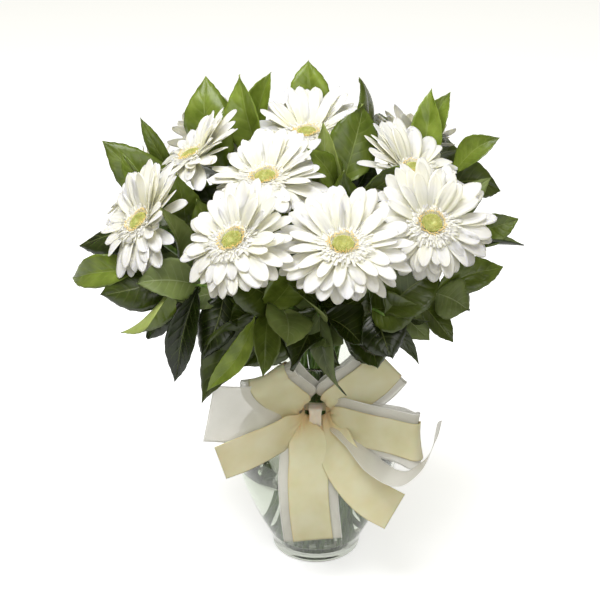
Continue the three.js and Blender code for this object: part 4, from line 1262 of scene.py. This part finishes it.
for n, (at, facing, ring, turn) in enumerate(HEADS):
    number = f"{n + 1:02d}"
    turn_matrix, middle = head_frame(at, facing)
    heading = turn_matrix.col[2].copy()

    def place_head(point):
        return turn_matrix @ point + middle

    found = cad_petals(n, turn_matrix, middle, mesh_points(f"gerbera_{number}_petals"))
    rays = new_bmesh()
    for which, layer in enumerate(RAY_LAYERS):
        for k in range(layer["count"]):
            seed = 31 * n + 5 * which + 0.77 * k + 2
            add_ray(rays, place_head, layer, seed, k, found, HEAD_SIZE.get(n, 1))
    finish_piece(f"gerbera_{number}_rays", rays, [f"gerbera_{number}_petals"],
                 [petal_tissue], RAY_WALL, False)

    fringe = new_bmesh()
    add_fringe(fringe, place_head, 17 * n + 1)
    finish_piece(f"gerbera_{number}_fringe", fringe, [], [fringe_cream], FLORET_WALL,
                 False)

    disc = new_bmesh()
    add_disc(disc, place_head)
    finish_piece(f"gerbera_{number}_disc", disc, [f"gerbera_{number}_centre"],
                 [disc_florets])
    stamens = new_bmesh()
    add_stamens(stamens, place_head, 13 * n + 2)
    finish_piece(f"gerbera_{number}_stamens", stamens, [], [stamen_gold])

    end = middle + heading * STEM_END
    foot, point = stem_curve(ring, turn, end, heading, FLOWER_REACH)
    stalk = new_bmesh()
    new_tube(stalk, stem_points(foot, point), lambda share: FLOWER_STEM_R * (1 - 0.08 * share), 10)
    finish_piece(f"gerbera_{number}_stalk", stalk, [f"gerbera_{number}_stem"], [stem_skin])
    calyx = new_bmesh()
    add_calyx(calyx, place_head)
    finish_piece(f"gerbera_{number}_calyx", calyx, [], [stem_skin], BRACT_WALL, False)
    print("gerbera", number, "CAD petals found", len(found), "of 15")

# %% [markdown]
# ## Bow
# The bow has three loops and three tails, each of a cream ribbon over a wider see-through one. Both
# follow the middle lines of the CAD bands. Such a ribbon could be dropped as cloth and left to
# settle, but a narrow one loses its edges in a simulation, so each band is a grid along its line.

# %% Ribbon paths
RIBBON = {"cream": 38, "sheer": 56, "gather": 13, "lead": 5, "opening": 33}
KNOT = {"x": -2, "low": 165, "middle": 171, "high": 178.5, "front": -45.5, "plate": 2, "pitch": 2.6}
# Side of the knot, direction across at the far end, points on the middle line
LOOPS = [
    (-12, (0.77, 0, 0.63), [(-17, -54, 178), (-32, -68, 199), (-44, -75, 216), (-46, -71, 226),
        (-42, -62, 221), (-31, -57, 205), (-18, -46, 184)]),
    (8, (0.7, 0, -0.72), [(13, -54, 179), (30, -64, 199), (52, -68, 220), (64, -64, 234),
        (62, -56, 231), (44, -54, 212), (20, -47, 188)]),
    (8, (0.15, 0, -1), [(15, -58, 171), (38, -74, 170), (66, -84, 168), (90, -86, 163),
        (96, -78, 161), (84, -68, 162), (50, -62, 166), (22, -53, 169)])]
# Ribbon, place at the knot, gathered width, direction across there and at the end, width, points
TAILS = [
    ("cream", (-12, 171.5), 11, (0, 0, 1), (0.1, 0, 1), 38, [
        (-20, -60, 166), (-40, -78, 161), (-64, -90, 155), (-90, -97, 147)]),
    ("sheer", (-12, 171), 10, (0, 0, 1), (-0.2, 0, 1), 56, [
        (-20, -50, 174), (-42, -66, 181), (-70, -80, 188), (-100, -90, 195)]),
    ("cream", (-9, 169), 12, (1, 0, 0), (1, 0, 0), 38, [
        (-12.5, -53, 164), (-9.5, -62, 156), (-8, -77, 141), (-9, -88, 121), (-8, -92, 98),
        (-6, -92, 76), (-4, -90, 58)]),
    ("sheer", (-9, 167), 12, (1, 0, 0), (1, 0, 0), 56, [
        (-15, -47, 160), (-10, -60, 151), (-8, -73, 140), (-9, -85.5, 121), (-8, -89.5, 98),
        (-6, -89.5, 76), (-4, -87.5, 57)]),
    ("cream", (7, 170), 13, (0.75, 0, 0.66), (0.55, 0.3, 0.78), 38, [
        (12, -60, 161), (20, -81, 146), (33, -92, 127), (51, -98, 109), (72, -101, 97)]),
    ("sheer", (8, 167), 6, (0.9, 0, 0.4), (0.3, 0.93, -0.05), 34, [
        (16, -50, 166), (34, -72, 157), (54, -98, 143), (76, -110, 138), (95, -107, 150),
        (106, -98, 168), (111, -90, 187)])]
print("loops", len(LOOPS), "tails", len(TAILS))


# %% Middle line of a band
class SmoothLine:
    """Curve through points, centripetal so that it doesn't loop, read by its length."""

    def __init__(self, points, cuts=24):
        self.samples = []
        count = len(points)
        for i in range(count - 1):
            p1, p2 = points[i], points[i + 1]
            p0 = points[i - 1] if i else p1 * 2 - p2
            p3 = points[i + 2] if i + 2 < count else p2 * 2 - p1
            t = [0.0]
            for a, b in ((p0, p1), (p1, p2), (p2, p3)):
                t.append(t[-1] + max((b - a).length, 1e-4) ** 0.5)
            for step in range(cuts):
                x = t[1] + (t[2] - t[1]) * step / cuts
                a1 = p0.lerp(p1, (x - t[0]) / (t[1] - t[0]))
                a2 = p1.lerp(p2, (x - t[1]) / (t[2] - t[1]))
                a3 = p2.lerp(p3, (x - t[2]) / (t[3] - t[2]))
                b1 = a1.lerp(a2, (x - t[0]) / (t[2] - t[0]))
                b2 = a2.lerp(a3, (x - t[1]) / (t[3] - t[1]))
                self.samples.append(b1.lerp(b2, (x - t[1]) / (t[2] - t[1])))
        self.samples.append(points[-1])
        self.marks = [0.0]
        for a, b in zip(self.samples, self.samples[1:]):
            self.marks.append(self.marks[-1] + (b - a).length)
        self.length = self.marks[-1]

    def at(self, share):
        goal = min(max(share, 0), 1) * self.length
        low, high = 0, len(self.marks) - 1
        while high - low > 1:
            mid = (low + high) // 2
            low, high = (mid, high) if self.marks[mid] <= goal else (low, mid)
        gap = self.marks[high] - self.marks[low]
        return self.samples[low].lerp(self.samples[high], (goal - self.marks[low]) / max(gap, 1e-9))

    def ahead(self, share):
        step = 1.5 / self.length
        return (self.at(min(share + step, 1)) - self.at(max(share - step, 0))).normalized()


print("a straight line of 10 mm", round(SmoothLine([Vector(), Vector((0, 0, 10))]).length, 3))

# %% [markdown]
# Where a band enters the knot it is drawn together in pleats. The folds take up the cloth, so its
# flat width stays the same: the narrower the band gets, the deeper they are. Further out it lies
# open with only a soft wave. Each face keeps its share of painted fold shade, which the material
# reads as a deeper colour.

# %% One band of ribbon
ROW, COLUMNS, PLEATS = 2.2, 30, 3
FOLD_SHADE_REACH = 32  # distance from the knot within which shade of the folds is painted as a deeper colour


def add_band(bm, points, start, across, width, gather, loop=False, inset=0.0, seed=0.0):
    line = SmoothLine(points)
    rows = max(int(line.length / ROW), 8)
    start, across = start.normalized(), across.normalized()
    frames = []
    for row in range(rows + 1):
        share = row / rows
        from_knot = line.length * (min(share, 1 - share) if loop else share)
        opening = smooth(from_knot / RIBBON["opening"])
        ahead = line.ahead(share)
        cross = start.lerp(across, opening)
        cross = (cross - ahead * cross.dot(ahead)).normalized()
        normal = ahead.cross(cross).normalized()
        narrow = gather + (width - gather) * opening
        frames.append((line.at(share) + normal * inset, cross, normal, narrow, from_knot))

    def place(u, v):
        at, cross, normal, narrow, from_knot = frames[round(v * rows)]
        edge = 2 * u - 1
        slack = math.sqrt(max(1 - (narrow / width) ** 2, 0))
        depth = 0.42 * width / (2 * math.pi * PLEATS) * slack * smooth(from_knot / 10 + 0.25)
        uneven = edge + 0.13 * math.sin(seed + 3 * edge)
        folds = depth * math.cos(math.pi * PLEATS * uneven + seed)
        soft = 1.1 * math.sin(v * 9 + seed + 2 * edge) * smooth((from_knot - 25) / 40)
        soft *= 0.4 + 0.6 * abs(edge)
        return at + cross * edge * narrow / 2 + normal * (folds + soft * 0.6)

    verts = new_grid(bm, COLUMNS, rows, place)
    uv = bm.loops.layers.uv["UVMap"]
    gathered = bm.faces.layers.float.get("gathered") or bm.faces.layers.float.new("gathered")
    tall = line.length / width
    for face in {f for vert in verts for f in vert.link_faces}:
        share = sum(corner[uv].uv.y for corner in face.loops) / len(face.loops)
        from_knot = line.length * (min(share, 1 - share) if loop else share)
        # Painted shade: faces near the knot take up to 0.8 of the deeper fold colour.
        face[gathered] = 0.8 * smooth(1 - from_knot / FOLD_SHADE_REACH)
        for corner in face.loops:
            corner[uv].uv.y *= tall
    return line.length * width


print("rows of a band, one to", ROW, "mm")

# %% [markdown]
# All bands of a ribbon are one piece, because they are one length of cloth, folded to and fro under
# the tie. Their layers lie one behind the other at the knot. The areas of all the bands are added up
# as well.

# %% Both ribbons
RIBBON_WALL = 0.3


def layer_y(layer):
    return KNOT["front"] + layer * KNOT["pitch"]


def make_ribbon(colour, material):
    bm = new_bmesh()
    sheer = colour == "sheer"
    width, area = RIBBON[colour], 0
    for k, (side, across, line) in enumerate(LOOPS):
        across = Vector(across).normalized()
        front, rear = (Vector((side, layer_y(layer) + KNOT["plate"] / 2, KNOT["middle"]))
                       for layer in (0, 2))
        lead = Vector((math.copysign(RIBBON["lead"], side - KNOT["x"]), 0, 0))
        points = [front, front + lead] + [Vector(p) for p in line] + [rear + lead, rear]
        upright = Vector((0, 0, math.copysign(1, across.z)))
        area += add_band(bm, points, upright, across, width, RIBBON["gather"], True,
                         KNOT["pitch"] if sheer else 0, 1.3 * k)
    for k, (ribbon, (x, z), gather, start, across, wide, line) in enumerate(TAILS):
        if ribbon == colour:
            held = Vector((x, layer_y(1 if sheer else 0) + KNOT["plate"] / 2, z))
            points = [held] + [Vector(p) for p in line]
            area += add_band(bm, points, Vector(start), Vector(across), wide, gather, seed=0.9 * k)
    piece = finish_piece(f"{colour}_ribbon", bm, [f"ribbon_{colour}"], [material],
                         RIBBON_WALL, False)


make_ribbon("cream", cream_taffeta)
make_ribbon("sheer", white_organza)

# %% [markdown]
# The tie is a strip of satin drawn tight round the middle of the bow. A block with rounded edges
# would stand for it, but a drawn strip has small creases along its length and a narrower waist. It
# starts as a grid that is bent round, and its two ends are merged.

# %% Tie
TIE_HALF, TIE_WALL, CREASE = 6.2, 0.8, 0.22


def rounded_box(turn, half_y, half_z, power=0.35):
    """A point on a box whose corners are round, at a turn about it."""
    c, s = math.cos(turn), math.sin(turn)
    return math.copysign(abs(c) ** power, c) * half_y, math.copysign(abs(s) ** power, s) * half_z


tie_low, tie_high = KNOT["low"] - 5.0, KNOT["high"] - 1.0
tie_front, tie_rear = layer_y(0) - 5.5, layer_y(2) + KNOT["plate"] + 0.3
tie_middle = Vector((KNOT["x"], (tie_front + tie_rear) / 2, (tie_low + tie_high) / 2))


def place_tie(u, v):
    turn = 2 * math.pi * v
    crease = CREASE * math.cos(14 * u + 1.5 * math.sin(turn * 2))
    y, z = rounded_box(turn, (tie_rear - tie_front) / 2 + 0.5 + crease,
                       (tie_high - tie_low) / 2 + 0.5)
    pinch = 1 - 0.08 * math.cos(turn * 2)
    return tie_middle + Vector(((2 * u - 1) * TIE_HALF * pinch, y, z))


tie = new_bmesh()
verts = new_grid(tie, 16, 48, place_tie)
bmesh.ops.remove_doubles(tie, verts=verts, dist=1e-7)
bow_tie = finish_piece("satin_tie", tie, ["bow_tie"], [tie_satin], TIE_WALL)
print("tie", len(bow_tie.data.polygons), "faces")

# %% [markdown]
# A narrow cream ribbon round the neck of the vase holds the bow. It could be a plain ring, but soft
# ribbon ripples where it is drawn round glass, so it is made the way the tie is.

# %% Neck band
BAND_R, BAND_LOW, BAND_HIGH, BAND_WALL = 35.7, 168.5, 177.0, 0.6


def place_neck_band(u, v):
    turn = 2 * math.pi * v
    ripple = 0.2 * math.cos(9 * turn) * math.sin(math.pi * u) + 0.25 * math.cos(3 * math.pi * u)
    return Vector((math.cos(turn) * (BAND_R + ripple), math.sin(turn) * (BAND_R + ripple),
                   BAND_LOW + (BAND_HIGH - BAND_LOW) * u))


neck = new_bmesh()
verts = new_grid(neck, 10, 96, place_neck_band)
bmesh.ops.remove_doubles(neck, verts=verts, dist=1e-7)
neck_ribbon = finish_piece("neck_ribbon", neck, ["neck_band"], [cream_taffeta], BAND_WALL)
print("neck band", len(neck_ribbon.data.polygons), "faces")

# %% [markdown]
# ## Table and light
# The vase stands on a white table that glows a little, as a photographer's light table does. A
# plain white plane would turn grey away from the lamps. The glow is kept off the leaves above it,
# which are nearly black on their shaded side, by hiding the table from diffuse rays.

# %% Table
TABLE_HALF, BELOW, GLOW = 6, 0.0002, 0.57  # metres, metres, strength

floor_bm = new_bmesh()
bmesh.ops.create_grid(floor_bm, x_segments=1, y_segments=1, size=TABLE_HALF)
floor_mesh = bpy.data.meshes.new("table_top")
floor_bm.to_mesh(floor_mesh)
floor_bm.free()
floor = bpy.data.objects.new("table_top", floor_mesh)
floor.location.z = -BELOW
scene.collection.objects.link(floor)
white_table, tree, shader = new_material("white_table")
fill_node(tree, shader, {"Base Color": linear("#f6f8fc"), "Roughness": 0.6,
                         "Emission Color": linear("#ffffff"), "Emission Strength": GLOW})
floor_mesh.materials.append(white_table)
floor.visible_diffuse = False
print("table", 2 * TABLE_HALF, "m wide")

# %% [markdown]
# A large soft lamp hangs above and a weaker one stands in front, so the shadows are soft and short.
# The room is warm white and fills what they leave. Light has to pass many glass surfaces in the
# vase, so more bounces than usual are allowed.

# %% Light
world = bpy.data.worlds.new("white_room")
world.use_nodes = True
fill_node(world.node_tree, world.node_tree.nodes["Background"],
          {"Color": linear("#fbf5d8"), "Strength": 0.3})
scene.world = world


def add_lamp(name, place, aim, size, power):
    """A square lamp; places and size are in metres, power in watts."""
    data = bpy.data.lights.new(name, "AREA")
    data.size, data.energy = size, power
    lamp = bpy.data.objects.new(name, data)
    lamp.location = Vector(place)
    lamp.rotation_euler = (Vector(aim) - Vector(place)).to_track_quat("-Z", "Y").to_euler()
    scene.collection.objects.link(lamp)


add_lamp("overhead_key", (-0.45, -0.5, 2.2), (0, 0, 0.35), 1.4, 51)
add_lamp("front_fill", (0.5, -2.6, 1.5), (0, 0, 0.25), 1.8, 26)
scene.cycles.max_bounces = scene.cycles.transmission_bounces = 20
scene.cycles.glossy_bounces = scene.cycles.transparent_max_bounces = 16
print("lamps placed")
